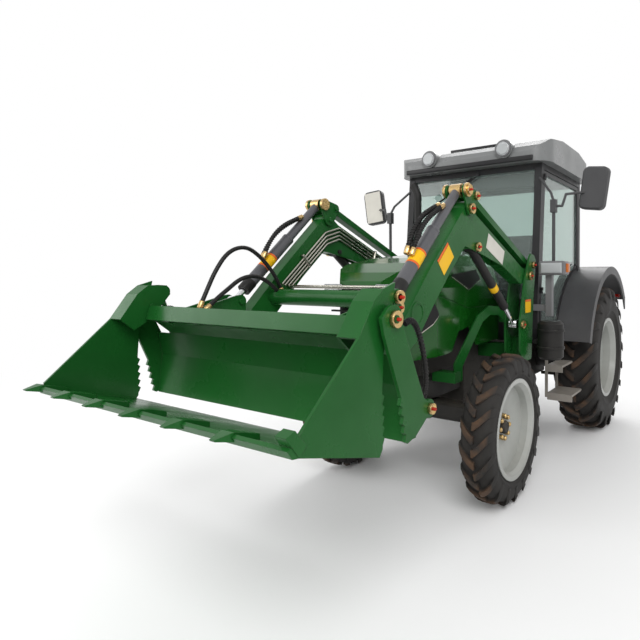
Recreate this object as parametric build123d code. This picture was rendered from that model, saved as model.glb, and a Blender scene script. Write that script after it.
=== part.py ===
from build123d import *
import os
from math import asin, cos, degrees, hypot, radians, sin

os.makedirs("parts", exist_ok=True)

# Farm tractor with a front loader and a four-in-one bucket, in millimetres.
# +Z is up, the front of the tractor points along -Y and +X is the driver's left.
# Heights are above the ground, and stations along Y are measured from the front axle
# until save() moves each piece so that the origin is under the middle of the whole machine.

# Driving dimensions: wheels and axles
wheelbase = 2100.0
front_tyre_radius = 497.5
front_tyre_width = 211.0
front_rim_radius = 318.0
front_lug_height = 30.0
front_lug_count = 19
front_track_half = 660.0
rear_tyre_radius = 705.0
rear_tyre_width = 375.0
rear_rim_radius = 372.0
rear_lug_height = 38.0
rear_lug_count = 20
rear_track_half = 735.0
rim_flange_height = 16.0
rim_wall = 8.0
kingpin_half = 470.0
kingpin_radius = 30.0
hub_radius = 82.0
steering_lock = 35.0

# Driving dimensions: running clearances
seat = 0.3
pin_clearance = 0.05
side_clearance = 6.0

# Driving dimensions: engine, transmission and frame
frame_half_width = 165.0
frame_front = -560.0
frame_rear = 330.0
frame_bottom = 650.0
frame_top = 850.0
engine_half_width = 205.0
engine_front = -330.0
engine_rear = 560.0
engine_top = 1290.0
gearbox_half_width = 190.0
gearbox_bottom = 480.0
gearbox_top = 985.0
rear_housing_radius = 150.0

# Driving dimensions: hood
hood_half_width = 330.0
hood_front = -745.0
hood_rear = 700.0
hood_skin = 10.0
hood_hinge_y = 690.0
hood_hinge_z = 1620.0
hood_hinge_x = 150.0
grille_top = -560.0
grille_foot = -580.0
hood_open_angle = 45.0

# Driving dimensions: cab
cab_half_width = 640.0
cab_front = 745.0
cab_rear = 2010.0
cab_floor_bottom = 985.0
cab_floor_thickness = 45.0
pillar = 60.0
pillar_top = 2440.0
pillar_lean = 105.0
waist = 1330.0
roof_half_width = 715.0
roof_front = 745.0
roof_rear = 2105.0
roof_height = 225.0
roof_lamp_x = 354.0
roof_lamp_z = 2560.0
roof_lamp_radius = 62.0
rail = 50.0
step_well = 1185.0
wheelhouse_half = 520.0
fender_radius = 900.0
fender_skin = 14.0
fender_outer = 930.0
fender_front_height = 1014.0
door_gap = 5.0
door_edge = 34.0
glass = 6.0
door_open_angle = 70.0

# Driving dimensions: loader, stations and heights of the pins
boom_pivot = (588.0, 1519.0)
level_offset = (68.0, 84.0)
crank_pivot = (-430.0, 1928.0)
tilt_arm = (-58.0, 105.0)
lift_boom_pin = (-310.0, 1702.0)
lift_mast_pin = (425.0, 1155.0)
bucket_hinge = (-1235.0, 1120.0)
tilt_ear = (-1217.0, 1374.0)
arm_centre = 565.0
arm_width = 90.0
arm_plate = 12.0
mast_plate = 14.0
crank_plate = 12.0
pin_radius = 16.0
boom_raise = 60.0
boom_lower = 26.0
arch_angle = 19.6
cross_tube_place = (-940.0, 1392.0)
cross_tube_radius = 50.0
lift_barrel_length = 672.0
lift_barrel_radius = 31.0
lift_rod_radius = 17.5
lift_retract = 200.0
rod_clearance = 0.5
tilt_neck_length = 390.0
tilt_neck_radius = 29.0
tilt_eye_radius = 40.0
tilt_head_radius = 42.0
tilt_head_thickness = 16.0
tilt_barrel_length = 880.0
tilt_barrel_radius = 38.0
tilt_bore_start = 300.0
tilt_rod_radius = 18.0
tilt_retract = 60.0

# Driving dimensions: bucket and clam
bucket_half_width = 870.0
bucket_side_plate = 16.0
clam_pivot = (-1618.0, 1359.0)
clam_lower_pin = (-1352.0, 955.0)
clam_upper_pin = (-1545.0, 1440.0)
clam_half_width = 852.0
clam_side_plate = 12.0
clam_open = 40.0
clam_close = 15.0
bucket_dump = 75.0
bucket_curl = 12.0
tooth_tip = (-2194.0, 994.0)
tooth_count = 6
tooth_pitch = (clam_half_width - 12) / (tooth_count / 2)
tooth_width = 62.0
beam_half_width = 738.0
clam_arm_inner = 746.0
clam_cylinder_x = 801.0
clam_barrel_length = 400.0
clam_barrel_radius = 30.0
clam_rod_radius = 15.0

# Driving dimensions: hitch
lower_link_end = (2905.0, 560.0)
lower_link_half = 390.0
drawbar_height = 420.0
link_bore_radius = 14.2
drawbar_bore_radius = 13.0
pto_radius = 17.5

# Driving dimensions: fittings
exhaust_x = cab_half_width - 220.0
exhaust_y = 640.0
canister_x = cab_half_width + 136.0
canister_y = cab_front - 95.0
canister_radius = 98.0
canister_bottom = 878.0
canister_top = 1171.0
step_x = cab_half_width - 20.0
step_y = wheelbase - rear_tyre_radius - 195.0
mirror_x = cab_half_width + 410.0
mirror_y = 850.0
mirror_z = 2191.0
lamp_x = cab_half_width + 136.0
lamp_y = 720.0
lamp_z = 1583.0

# Places that follow from the driving dimensions
front_hub = (0.0, front_tyre_radius)
rear_hub = (wheelbase, rear_tyre_radius)
link_ball_radius = 42.0
gearbox_rear = wheelbase + 180
overall_front = tooth_tip[0]
overall_rear = lower_link_end[0] + link_ball_radius
origin_y = (overall_front + overall_rear) / 2
crank_level_pin = (crank_pivot[0] + level_offset[0], crank_pivot[1] + level_offset[1])
mast_level_pin = (boom_pivot[0] + level_offset[0], boom_pivot[1] + level_offset[1])
crank_tilt_pin = (crank_pivot[0] + tilt_arm[0], crank_pivot[1] + tilt_arm[1])
arm_inner = arm_centre - arm_width / 2
arm_outer = arm_centre + arm_width / 2
mast_inner = arm_inner - side_clearance
mast_outer = arm_outer + side_clearance
crank_inner = arm_inner - side_clearance
crank_outer = arm_outer + side_clearance


def save(shape, node):
    """Write one node, moved so that the origin is under the middle of the machine."""
    export_step(Pos(0, -origin_y, 0) * shape, f"parts/{node}.step")


def joined(*shapes):
    """One compound of solids that stay separate."""
    return Compound([solid for shape in shapes for solid in shape.solids()])


def mirrored(shape):
    """The same piece on the other side of the machine."""
    return mirror(shape, about=Plane.YZ)


def both_sides(*shapes):
    """Pieces of the left side with their mirror images."""
    left = joined(*shapes)
    return joined(left, mirrored(left))


def block(x0, x1, y0, y1, z0, z1):
    """A box between two corners."""
    centre = ((x0 + x1) / 2, (y0 + y1) / 2, (z0 + z1) / 2)
    return Pos(*centre) * Box(abs(x1 - x0), abs(y1 - y0), abs(z1 - z0))


def side_plate(points, x0, x1, corner=0.0):
    """A plate drawn in side view and extruded across, with its corners rounded."""
    sketch = Polygon(*points, align=None)
    if corner > 0:
        sketch = fillet(sketch.vertices(), corner)
    return side_extrude(sketch, x0, x1)


def side_extrude(sketch, x0, x1):
    """A sketch in station and height, extruded across the machine."""
    return extrude(Plane.YZ.offset(x0) * sketch, amount=x1 - x0, dir=(1, 0, 0))


def disc(point, radius):
    """A circle of a side-view sketch."""
    return Pos(point[0], point[1]) * Circle(radius)


def cross_pin(point, radius, x0, x1):
    """A round pin across the machine."""
    return side_extrude(disc(point, radius), x0, x1)


def rod(start, end, radius):
    """A round bar between two points."""
    axis = Vector(*end) - Vector(*start)
    return extrude(Plane(origin=start, z_dir=axis) * Circle(radius), amount=axis.length)


def tube(start, end, outer, inner):
    """A round tube between two points."""
    axis = Vector(*end) - Vector(*start)
    ring = Circle(outer) - Circle(inner)
    return extrude(Plane(origin=start, z_dir=axis) * ring, amount=axis.length)


def bent(points, radius):
    """A round bar through several points, with ball corners."""
    bar = rod(points[0], points[1], radius)
    for corner, following in zip(points[1:-1], points[2:]):
        bar += Pos(*corner) * Sphere(radius) + rod(corner, following, radius)
    return bar


def between(start, end, distance):
    """The side-view point at a distance from start towards end."""
    length = hypot(end[0] - start[0], end[1] - start[1])
    share = distance / length
    return (start[0] + (end[0] - start[0]) * share, start[1] + (end[1] - start[1]) * share)


def span(start, end):
    """The distance between two side-view points."""
    return hypot(end[0] - start[0], end[1] - start[1])


def beside(start, end, along, offset):
    """The point along a line from start to end, moved to the left of that line by offset."""
    length = span(start, end)
    uy, uz = (end[0] - start[0]) / length, (end[1] - start[1]) / length
    return (start[0] + uy * along - uz * offset, start[1] + uz * along + uy * offset)


def serration(start, end, count, depth):
    """Saw-tooth points along an edge, each tooth stepping out by depth."""
    points = []
    for index in range(count):
        low = between(start, end, span(start, end) * index / count)
        high = between(start, end, span(start, end) * (index + 0.72) / count)
        points.append((high[0] - depth, high[1]))
        if index < count - 1:
            points.append(between(start, end, span(start, end) * (index + 1) / count))
    return points


# Tyres and rims

def tyre(radius, width, rim_radius, lug_height, lug_count, lug_thickness):
    """A farm tyre about the X axis: a faceted carcass with slanted lugs on flat roofs."""
    base = radius - lug_height
    half = width / 2
    sides = 2 * lug_count
    bead_half = half * 0.80 + rim_wall / 2 - seat
    bead = rim_radius + rim_flange_height + 8
    belly = bead + (base - bead) * 0.45
    stations = (
        # place across the tyre, radius
        (-bead_half, bead), (-half, belly), (-half * 0.94, base - 6),
        (half * 0.94, base - 6), (half, belly), (bead_half, bead))
    carcass = loft([Plane.YZ.offset(x) * RegularPolygon(r, sides) for x, r in stations], ruled=True)
    inner = (rim_radius + seat) / cos(radians(180 / sides))
    carcass -= extrude(Plane.YZ.offset(-half) * RegularPolygon(inner, sides), amount=width,
                       dir=(1, 0, 0))
    rise = half * 0.62
    middle = rise / 2
    end = half * 0.93
    lug_plan = Polygon(
        (-6, -lug_thickness / 2 - middle), (end, rise - lug_thickness / 2 - middle),
        (end, rise + lug_thickness * 0.6 - middle),
        (half * 0.55, rise * 0.9 + lug_thickness * 0.3 - middle),
        (-6, lug_thickness / 2 - middle), align=None)
    corner = middle + lug_thickness / 2
    lug_top = (radius ** 2 - corner ** 2) ** 0.5
    floor = base - 30
    lug_front = Polygon((-6, floor), (end, floor), (end, radius - lug_height * 0.7),
                        (half * 0.80, lug_top), (-6, lug_top), align=None)
    lug = extrude(Plane.XY.offset(floor) * lug_plan, amount=radius, dir=(0, 0, 1))
    lug &= extrude(Plane.XZ.offset(-width) * lug_front, amount=2 * width, dir=(0, -1, 0))
    pitch = 360 / lug_count
    lugs = [Rot(pitch * index, 0, 0) * lug for index in range(lug_count)]
    other = mirror(lug, about=Plane.YZ)
    lugs += [Rot(pitch * (index + 0.5), 0, 0) * other for index in range(lug_count)]
    treaded = carcass.fuse(*[solid for item in lugs for solid in item.solids()])
    return Rot(180 - degrees(asin(corner / radius)), 0, 0) * treaded


def rim(rim_radius, width, face, dish, centre_radius, bolt_circle, bolt_count):
    """A pressed wheel about the X axis, its open side towards +X."""
    flange = rim_radius + rim_flange_height
    edge = width / 2 * 0.80 + 12
    well = rim_radius - 34
    outline = Polygon(
        (-edge, flange), (-edge, rim_radius - rim_wall - 6), (-edge * 0.5, well), (dish, well),
        (face, centre_radius), (face, 0), (face + 12, 0), (face + 12, centre_radius + 4),
        (dish + 14, well), (edge * 0.7, well), (edge, rim_radius - rim_wall - 6),
        (edge, flange), (edge - 8, flange), (edge - 8, rim_radius), (8 - edge, rim_radius),
        (8 - edge, flange), align=None)
    wheel = revolve(Plane.XY * outline, axis=Axis.X)
    nut = extrude(Plane.YZ.offset(face + 12) * RegularPolygon(15, 6), amount=24, dir=(1, 0, 0))
    nuts = [Rot(360 / bolt_count * index, 0, 0) * (Pos(0, 0, bolt_circle) * nut)
            for index in range(bolt_count)]
    return wheel.fuse(*nuts)


front_tyre = tyre(front_tyre_radius, front_tyre_width, front_rim_radius,
                  front_lug_height, front_lug_count, 34.0)
rear_tyre = tyre(rear_tyre_radius, rear_tyre_width, rear_rim_radius,
                 rear_lug_height, rear_lug_count, 46.0)
front_face = -front_tyre_width * 0.12
rear_face = -rear_tyre_width * 0.10
front_rim = rim(front_rim_radius, front_tyre_width, front_face, front_tyre_width * 0.02,
                118.0, 76.0, 8)
rear_rim = rim(rear_rim_radius, rear_tyre_width, rear_face, rear_tyre_width * 0.06,
               150.0, 101.0, 8)

wheels = (
    # name, tyre, rim, track half width, hub
    ("front_left", front_tyre, front_rim, front_track_half, front_hub),
    ("rear_left", rear_tyre, rear_rim, rear_track_half, rear_hub),
)
for name, tyre_shape, rim_shape, track_half, hub in wheels:
    place = Pos(track_half, hub[0], hub[1])
    right = name.replace("left", "right")
    save(place * tyre_shape, f"tyre_{name}")
    save(mirrored(place * tyre_shape), f"tyre_{right}")
    save(place * rim_shape, f"rim_{name}")
    save(mirrored(place * rim_shape), f"rim_{right}")


# Front axle, knuckles and steering

front_face_x = front_track_half + front_face
beam_end = kingpin_half - 66
axle_height = front_hub[1] + 62
beam = Plane.YZ.offset(-beam_end) * (Pos(0, axle_height) * RectangleRounded(150, 130, 30))
axle_beam = extrude(beam, amount=2 * beam_end)
axle_beam += Pos(60, 0, axle_height) * Sphere(frame_bottom - axle_height - seat)
axle_beam += block(-95, 95, -105, 105, axle_height, frame_bottom - seat)
for side in (-1, 1):
    for level in (-1, 1):
        z_ear = axle_height + level * 78
        ear = block(side * (beam_end - 30), side * (kingpin_half + 40), -46, 46,
                    z_ear - 14, z_ear + 14)
        axle_beam += ear
        axle_beam += Pos(side * kingpin_half, 0, z_ear) * Cylinder(50, 28)
    axle_beam -= Pos(side * kingpin_half, 0, axle_height) * Cylinder(kingpin_radius, 400)
save(axle_beam, "front_axle")

kingpin_span = 78 + 22
hub_start = 68.0
yoke_half = 78 - 14 - 14 - side_clearance
knuckle = Pos(kingpin_half, 0, axle_height) * Cylinder(62, 2 * yoke_half)
knuckle += Pos(kingpin_half, 0, axle_height) * Cylinder(kingpin_radius - pin_clearance,
                                                        2 * kingpin_span)
knuckle += block(kingpin_half, kingpin_half + hub_start + 8, -44, 44, axle_height - yoke_half,
                 axle_height + yoke_half)
knuckle += cross_pin((0, front_hub[1]), hub_radius, kingpin_half + hub_start, front_face_x - 40)
knuckle += cross_pin((0, front_hub[1]), 36, kingpin_half + hub_start, front_face_x - seat)
knuckle += block(kingpin_half, kingpin_half + 40, 40, 205, axle_height - 22, axle_height + 4)
save(knuckle, "knuckle_left")
save(mirrored(knuckle), "knuckle_right")

# Frame, engine, gearbox and rear axle

bolster = block(-frame_half_width, frame_half_width, frame_front, frame_rear, frame_bottom, frame_top)
bolster -= block(-frame_half_width + 40, frame_half_width - 40, frame_front + 120, frame_rear - 60,
                 frame_bottom + 45, frame_top + 1)
save(bolster, "front_frame")
save(block(-engine_half_width, engine_half_width, engine_front, engine_rear,
           frame_top + seat, engine_top), "engine")
gearbox = block(-gearbox_half_width, gearbox_half_width, frame_rear, wheelbase + 180,
                gearbox_bottom, frame_top)
gearbox += block(-gearbox_half_width, gearbox_half_width, engine_rear + seat, wheelbase + 180,
                 frame_top, gearbox_top)
save(gearbox, "gearbox")
rear_hub_x = rear_track_half + rear_face
axle_case = rod((gearbox_half_width + seat, wheelbase, rear_hub[1]),
                (rear_hub_x - 60, wheelbase, rear_hub[1]), rear_housing_radius)
axle_case += rod((rear_hub_x - 60, wheelbase, rear_hub[1]),
                 (rear_hub_x - seat, wheelbase, rear_hub[1]), 60)
save(both_sides(axle_case), "rear_axle")


# Hood and side panels

def hood_form(inset):
    """The closed form of the nose and hood, drawn in by inset on every side."""
    profile = Polygon(
        (hood_rear - inset, 990 + inset), (hood_rear - inset, 1700 - inset),
        (150, 1690 - inset), (-308, 1645 - inset), (-495, 1606 - inset),
        (-640, 1545 - inset), (hood_front + 30 + inset, 1490 - inset * 0.5),
        (hood_front + inset, 1440), (hood_front + 75 + inset, 990 + inset), align=None)
    form = side_extrude(profile, -hood_half_width + inset, hood_half_width - inset)
    half = hood_half_width - inset
    top = 1700 - inset
    front_view = Polygon(
        (-half, 980), (half, 980), (half, 1440), (half - 45, 1590), (half - 130, top - 25),
        (half - 230, top), (-half + 230, top), (-half + 130, top - 25), (-half + 45, 1590),
        (-half, 1440), align=None)
    form &= extrude(Plane.XZ.offset(-hood_rear) * front_view, amount=hood_rear - hood_front + 5,
                    dir=(0, -1, 0))
    plan = Polygon(
        (-half, hood_rear), (-half, -330 + inset), (-half + 60, hood_front + 160 + inset),
        (-half + 165, hood_front + 30 + inset), (-half + 270, hood_front + inset),
        (half - 270, hood_front + inset), (half - 165, hood_front + 30 + inset),
        (half - 60, hood_front + 160 + inset), (half, -330 + inset), (half, hood_rear), align=None)
    form &= extrude(Plane.XY.offset(900) * plan, amount=900, dir=(0, 0, 1))
    return form


hood_shell = hood_form(0) - hood_form(hood_skin)
hood_shell -= block(-400, 400, hood_rear - 2 * hood_skin, hood_rear + 50, 900, 1672)
upper = side_plate([(-900, 1465), (-600, 1465), (-150, 1360), (120, 1290), (hood_rear + 50, 1290),
                    (hood_rear + 50, 1800), (-900, 1800)], -400, 400)
hood = hood_shell & upper
hood_lug = side_plate([(hood_hinge_y - 25, hood_hinge_z - 20), (hood_hinge_y + 9, hood_hinge_z - 20),
                       (hood_hinge_y + 9, 1692), (hood_hinge_y - 60, 1692)],
                      hood_hinge_x - 6, hood_hinge_x + 6)
hood_lug += cross_pin((hood_hinge_y, hood_hinge_z), 8, hood_hinge_x + 6, hood_hinge_x + 34)
hood += [hood_lug, mirrored(hood_lug)]
save(hood, "hood")
lower = side_plate([(-900, 1465 - 4), (-600, 1465 - 4), (-150, 1360 - 4), (120, 1290 - 4),
                    (hood_rear + 50, 1290 - 4), (hood_rear + 50, 1000), (260, 1000), (140, 1150),
                    (-20, 1130), (-120, 1000), (-900, 900)], -400, 400)
side_panels = (hood_shell & lower) - block(-hood_half_width + hood_skin + 1,
                                           hood_half_width - hood_skin - 1, -330, 900, 900, 1290)
grille_zone = side_plate([(-900, 900), (-900, 1461), (grille_top, 1461), (grille_foot, 900)],
                         -400, 400)
nose_grille = side_panels & grille_zone
side_panels -= side_plate([(-900, 900), (-900, 1470), (grille_top + seat, 1470),
                           (grille_foot + seat, 900)], -400, 400)
save(side_panels, "side_panels")
save(nose_grille, "nose_grille")


# Cab

floor_top = cab_floor_bottom + cab_floor_thickness
cab_floor = block(-cab_half_width, cab_half_width, cab_front, step_well,
                  cab_floor_bottom, floor_top)
cab_floor += block(-wheelhouse_half, wheelhouse_half, step_well, cab_rear,
                   cab_floor_bottom, floor_top)
cab_floor += block(-cab_half_width, cab_half_width, cab_front, cab_front + 40,
                   cab_floor_bottom, waist - seat)
cab_floor += block(-wheelhouse_half, wheelhouse_half, cab_rear - 30, cab_rear,
                   cab_floor_bottom, waist - seat)
for side in (-1, 1):
    upright = side_plate([(cab_front - seat, 1180), (cab_front - seat, hood_hinge_z + 18),
                          (hood_hinge_y - 18, hood_hinge_z + 18), (hood_hinge_y - 18, 1560),
                          (hood_hinge_y + 20, 1480), (hood_hinge_y + 20, 1180)], 0, 12)
    upright -= cross_pin((hood_hinge_y, hood_hinge_z), 8 + pin_clearance, -1, 13)
    upright = Pos(side * (hood_hinge_x + 18) - 6, 0, 0) * upright
    cab_floor += upright + block(side * (hood_hinge_x + 18) - 6, side * (hood_hinge_x + 18) + 6,
                                 cab_front - 10, cab_front + 5, 1180, 1320)
save(cab_floor, "cab_floor")

# Each fender is an arched skin over the rear tyre with a wall towards the cab
fender_ring = disc(rear_hub, fender_radius) - disc(rear_hub, fender_radius - fender_skin)
fender_sector = Polygon(rear_hub, (rear_hub[0] - 1100, fender_front_height),
                        (rear_hub[0] - 1100, 1800), (rear_hub[0] + 700, 1800),
                        (rear_hub[0] + 700, rear_hub[1] + 420), align=None)
fender_arch = side_extrude(fender_ring & fender_sector, wheelhouse_half + seat, fender_outer)
fender_wall = side_extrude((disc(rear_hub, fender_radius - fender_skin)
                            - disc(rear_hub, rear_housing_radius + 60)) & fender_sector,
                           wheelhouse_half + seat, wheelhouse_half + seat + 12)
fender_lip = side_extrude((disc(rear_hub, fender_radius - fender_skin)
                           - disc(rear_hub, fender_radius - 75)) & fender_sector,
                          fender_outer - 14, fender_outer)
save(both_sides(fender_arch + fender_wall + fender_lip), "fenders")


def fender_top(y):
    """Height of the fender's outer face at a station."""
    return rear_hub[1] + (fender_radius ** 2 - (y - rear_hub[0]) ** 2) ** 0.5


front_post = side_plate([(cab_front, waist), (cab_front + pillar, waist),
                         (cab_front + pillar + pillar_lean, pillar_top),
                         (cab_front + pillar_lean, pillar_top)],
                        cab_half_width - pillar, cab_half_width)
rear_post_base = fender_top(cab_rear) + seat
rear_post = block(cab_half_width - pillar, cab_half_width, cab_rear - pillar, cab_rear,
                  rear_post_base, pillar_top)
side_rail = block(cab_half_width - pillar, cab_half_width, cab_front + pillar_lean,
                  cab_rear, pillar_top - rail, pillar_top)
cab_frame = front_post + rear_post + side_rail
cab_frame += mirrored(cab_frame)
cab_frame += block(-cab_half_width, cab_half_width, cab_front + pillar_lean,
                   cab_front + pillar_lean + pillar, pillar_top - rail, pillar_top)
cab_frame += block(-cab_half_width, cab_half_width, cab_rear - pillar, cab_rear,
                   pillar_top - rail, pillar_top)
cab_frame += block(-cab_half_width + pillar, cab_half_width - pillar, cab_rear - pillar, cab_rear,
                   rear_post_base, rear_post_base + rail)
door_axis_x = cab_half_width + 10
door_axis_y = cab_front + pillar + door_gap / 2
hinge_heights = (waist + 70, pillar_top - 110)


def door_axis(z):
    """The point of the door's leaning hinge line at a height."""
    return (door_axis_x, door_axis_y + pillar_lean * (z - waist) / (pillar_top - waist), z)


for z in hinge_heights:
    foot_y = door_axis(z)[1]
    hinge_half = block(cab_half_width - 4, door_axis_x, foot_y - 22, foot_y - 6, z - 25, z - 3)
    hinge_half += rod(door_axis(z - 25), door_axis(z - 3), 10)
    hinge_half += rod(door_axis(z - 4), door_axis(z + 20), 5 - pin_clearance)
    cab_frame += [hinge_half, mirrored(hinge_half)]
save(cab_frame, "cab_frame")

roof_bottom = pillar_top + seat
roof_profile = Polygon(
    (roof_front, roof_bottom), (roof_front, roof_bottom + 85), (roof_front + 30, roof_bottom + 130),
    (roof_front + 110, roof_bottom + 180), (roof_front + 430, roof_bottom + roof_height),
    (roof_rear - 430, roof_bottom + roof_height), (roof_rear - 80, roof_bottom + 160),
    (roof_rear - 20, roof_bottom + 110), (roof_rear, roof_bottom + 60), (roof_rear, roof_bottom),
    align=None)
roof_plan = fillet((Pos(0, (roof_front + roof_rear) / 2)
                    * Rectangle(2 * roof_half_width, roof_rear - roof_front)).vertices(), 170)
roof = side_extrude(roof_profile, -roof_half_width, roof_half_width)
roof &= extrude(Plane.XY.offset(roof_bottom - 1) * roof_plan, amount=roof_height + 2, dir=(0, 0, 1))
lamp_seats = [Pos(side * roof_lamp_x, roof_front - 20, roof_lamp_z) * Rot(-90, 0, 0)
              * Cylinder(roof_lamp_radius + 14, 260, align=(Align.CENTER, Align.CENTER, Align.MIN))
              for side in (-1, 1)]
roof += lamp_seats
roof -= block(-roof_half_width + 150, roof_half_width - 150, roof_front + 190, roof_rear - 170,
              roof_bottom - 1, roof_bottom + 120)
save(roof, "roof")
roof_lamps = [Pos(side * roof_lamp_x, roof_front - 20 - seat, roof_lamp_z) * Rot(90, 0, 0)
              * Cone(roof_lamp_radius, roof_lamp_radius - 16, 22,
                     align=(Align.CENTER, Align.CENTER, Align.MIN)) for side in (-1, 1)]
save(joined(*roof_lamps), "roof_lamps")

glass_inner = cab_half_width - pillar - seat
windscreen = side_plate([(cab_front + 20, waist + 1), (cab_front + 20 + glass, waist + 1),
                         (cab_front + 20 + glass + pillar_lean, pillar_top - rail - 1),
                         (cab_front + 20 + pillar_lean, pillar_top - rail - 1)],
                        -glass_inner, glass_inner)
rear_glass = block(-glass_inner, glass_inner, cab_rear - 35, cab_rear - 35 + glass,
                   rear_post_base + rail + seat, pillar_top - rail - seat)
save(joined(windscreen, rear_glass), "cab_glass")

# Doors: a black edge with a curved foot over the fender, and one pane
door_front = cab_front + pillar + door_gap
door_rear = cab_rear - pillar - door_gap
door_top = pillar_top - rail - door_gap
door_foot = floor_top + door_gap
door_sketch = Polygon((door_front, door_foot), (door_front, waist),
                      (door_front + pillar_lean, door_top), (door_rear, door_top),
                      (door_rear, 1400), (door_rear, door_foot), align=None)
door_sketch -= disc(rear_hub, fender_radius + door_gap)
door_pane = offset(door_sketch, -door_edge)
door_left = side_extrude(door_sketch - door_pane, cab_half_width - 38, cab_half_width - 4)
for z in hinge_heights:
    leaf_y = door_axis(z)[1]
    leaf = block(cab_half_width - 6, door_axis_x + 6, leaf_y + 3, leaf_y + 30, z - 1, z + 25)
    leaf += rod(door_axis(z - 1), door_axis(z + 25), 10)
    leaf -= rod(door_axis(z - 30), door_axis(z + 50), 5)
    door_left += leaf
pane = side_extrude(offset(door_sketch, -door_edge - seat), cab_half_width - 24,
                    cab_half_width - 24 + glass)
save(door_left, "door_left")
save(mirrored(door_left), "door_right")
save(pane, "door_glass_left")
save(mirrored(pane), "door_glass_right")

# Seat, console and steering wheel
seat_y = cab_rear - 420
seat_shape = side_plate([(seat_y - 260, floor_top + 430), (seat_y - 250, floor_top + 330),
                         (seat_y + 240, floor_top + 330), (seat_y + 330, floor_top + 900),
                         (seat_y + 240, floor_top + 900), (seat_y + 180, floor_top + 440)],
                        -240, 240, 30)
seat_shape += block(-180, 180, seat_y - 160, seat_y + 200, floor_top + seat, floor_top + 335)
save(seat_shape, "driver_seat")
console = side_plate([(cab_front + 60, floor_top + seat), (cab_front + 330, floor_top + seat),
                      (cab_front + 300, floor_top + 420), (cab_front + 210, floor_top + 520),
                      (cab_front + 60, floor_top + 540)], -190, 190, 20)
column_base = (0, cab_front + 240, floor_top + 450)
column_length = 210.0
column_tilt = 32.0
console += Pos(*column_base) * Rot(-column_tilt, 0, 0) * Cylinder(
    26, column_length, align=(Align.CENTER, Align.CENTER, Align.MIN))
save(console, "console")
wheel_place = Pos(*column_base) * Rot(-column_tilt, 0, 0) * Pos(0, 0, column_length + seat + 15)
wheel_section = Plane.XZ * (Pos(190, 0) * RegularPolygon(14, 8))
steering_wheel = wheel_place * revolve(wheel_section, axis=Axis.Z)
steering_wheel += wheel_place * Box(380, 34, 14)
steering_wheel += wheel_place * extrude(RegularPolygon(45, 16), amount=15, both=True)
save(steering_wheel, "steering_wheel")

# Loader masts, braces and arches
mast_outline = Polygon((585, 1660), (493, 1500), (391, 1170), (394, 950), (450, 869), (630, 869),
                       (655, 1098), (674, 1334), (734, 1640), (690, 1680), (620, 1690), align=None)
mast_outline = fillet(mast_outline.vertices(), 18)
mast_outline -= disc(boom_pivot, pin_radius + pin_clearance)
mast_outline -= disc(mast_level_pin, pin_radius + pin_clearance)
mast = side_extrude(mast_outline, mast_outer, mast_outer + mast_plate)
mast += side_extrude(mast_outline, mast_inner - mast_plate, mast_inner)
mast += block(mast_inner, mast_outer, 530, 632, 869, 1050)
mast += cross_pin(lift_mast_pin, pin_radius, mast_outer, mast_outer + mast_plate + 22)
mast += block(gearbox_half_width + seat, mast_inner, engine_rear + 15, engine_rear + 95, 869, 980)
arch_plane = Plane(origin=(mast_inner - mast_plate - 14, 400, 0),
                   x_dir=(-sin(radians(arch_angle)), -cos(radians(arch_angle)), 0),
                   z_dir=(-cos(radians(arch_angle)), sin(radians(arch_angle)), 0))
arch_outline = fillet(Polygon((0, 1175), (0, 1250), (50, 1288), (160, 1300), (275, 1235),
                              (505, 905), (505, 776), (430, 776), (430, 880), (228, 1185),
                              (150, 1232), (60, 1225), align=None).vertices(), 12)
save(both_sides(mast), "loader_masts")
arch = extrude(arch_plane * arch_outline, amount=14)
arch += block(frame_half_width + seat, 350, -112, -30, 776, 849)
arch += block(mast_inner - mast_plate - 40, mast_inner - mast_plate - seat, 392, 420, 1170, 1246)
save(both_sides(arch), "loader_arches")

# Boom arms: a rear leg, a gusset at the knee and a front leg, boxed to one width
arm_outline = Polygon(
    beside(boom_pivot, crank_pivot, 0, -44), beside(boom_pivot, crank_pivot, 120, -16),
    beside(boom_pivot, crank_pivot, 980, -16), (-430, 1976), (-535, 1879), (-882, 1563),
    (-1115, 1330), (-1281, 1130), (-1262, 1080), (-1215, 1074), (-1020, 1188), (-843, 1367),
    (-682, 1521), (-472, 1700), (-297, 1672), (110, 1586), (447, 1459), (575, 1462), align=None)
arm_outline += disc(boom_pivot, 50)
arm_outline += disc(crank_pivot, 48)
arm_outline += disc(bucket_hinge, 48)
for bore in (crank_pivot, bucket_hinge):
    arm_outline -= disc(bore, pin_radius + pin_clearance)
arm = side_extrude(arm_outline, arm_inner, arm_outer)
arm += cross_pin(boom_pivot, pin_radius, mast_inner - mast_plate - 16, mast_outer + mast_plate + 16)
barrel_slot = Polygon((-400, 1560), (-392, 1745), (-330, 1790), (-230, 1770), (80, 1640),
                      (60, 1540), align=None)
arm -= side_extrude(barrel_slot, arm_inner + arm_plate, arm_outer - arm_plate)
arm -= cross_pin(lift_boom_pin, pin_radius + pin_clearance, arm_inner - 1, arm_outer + 1)
ring_place = (-1010, 1330)
arm += side_extrude(disc(ring_place, 62) - disc(ring_place, 50), arm_outer, arm_outer + 4)
save(both_sides(arm), "boom_arms")
save(cross_pin(cross_tube_place, cross_tube_radius, -arm_inner + seat, arm_inner - seat),
     "cross_tube")

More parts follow.
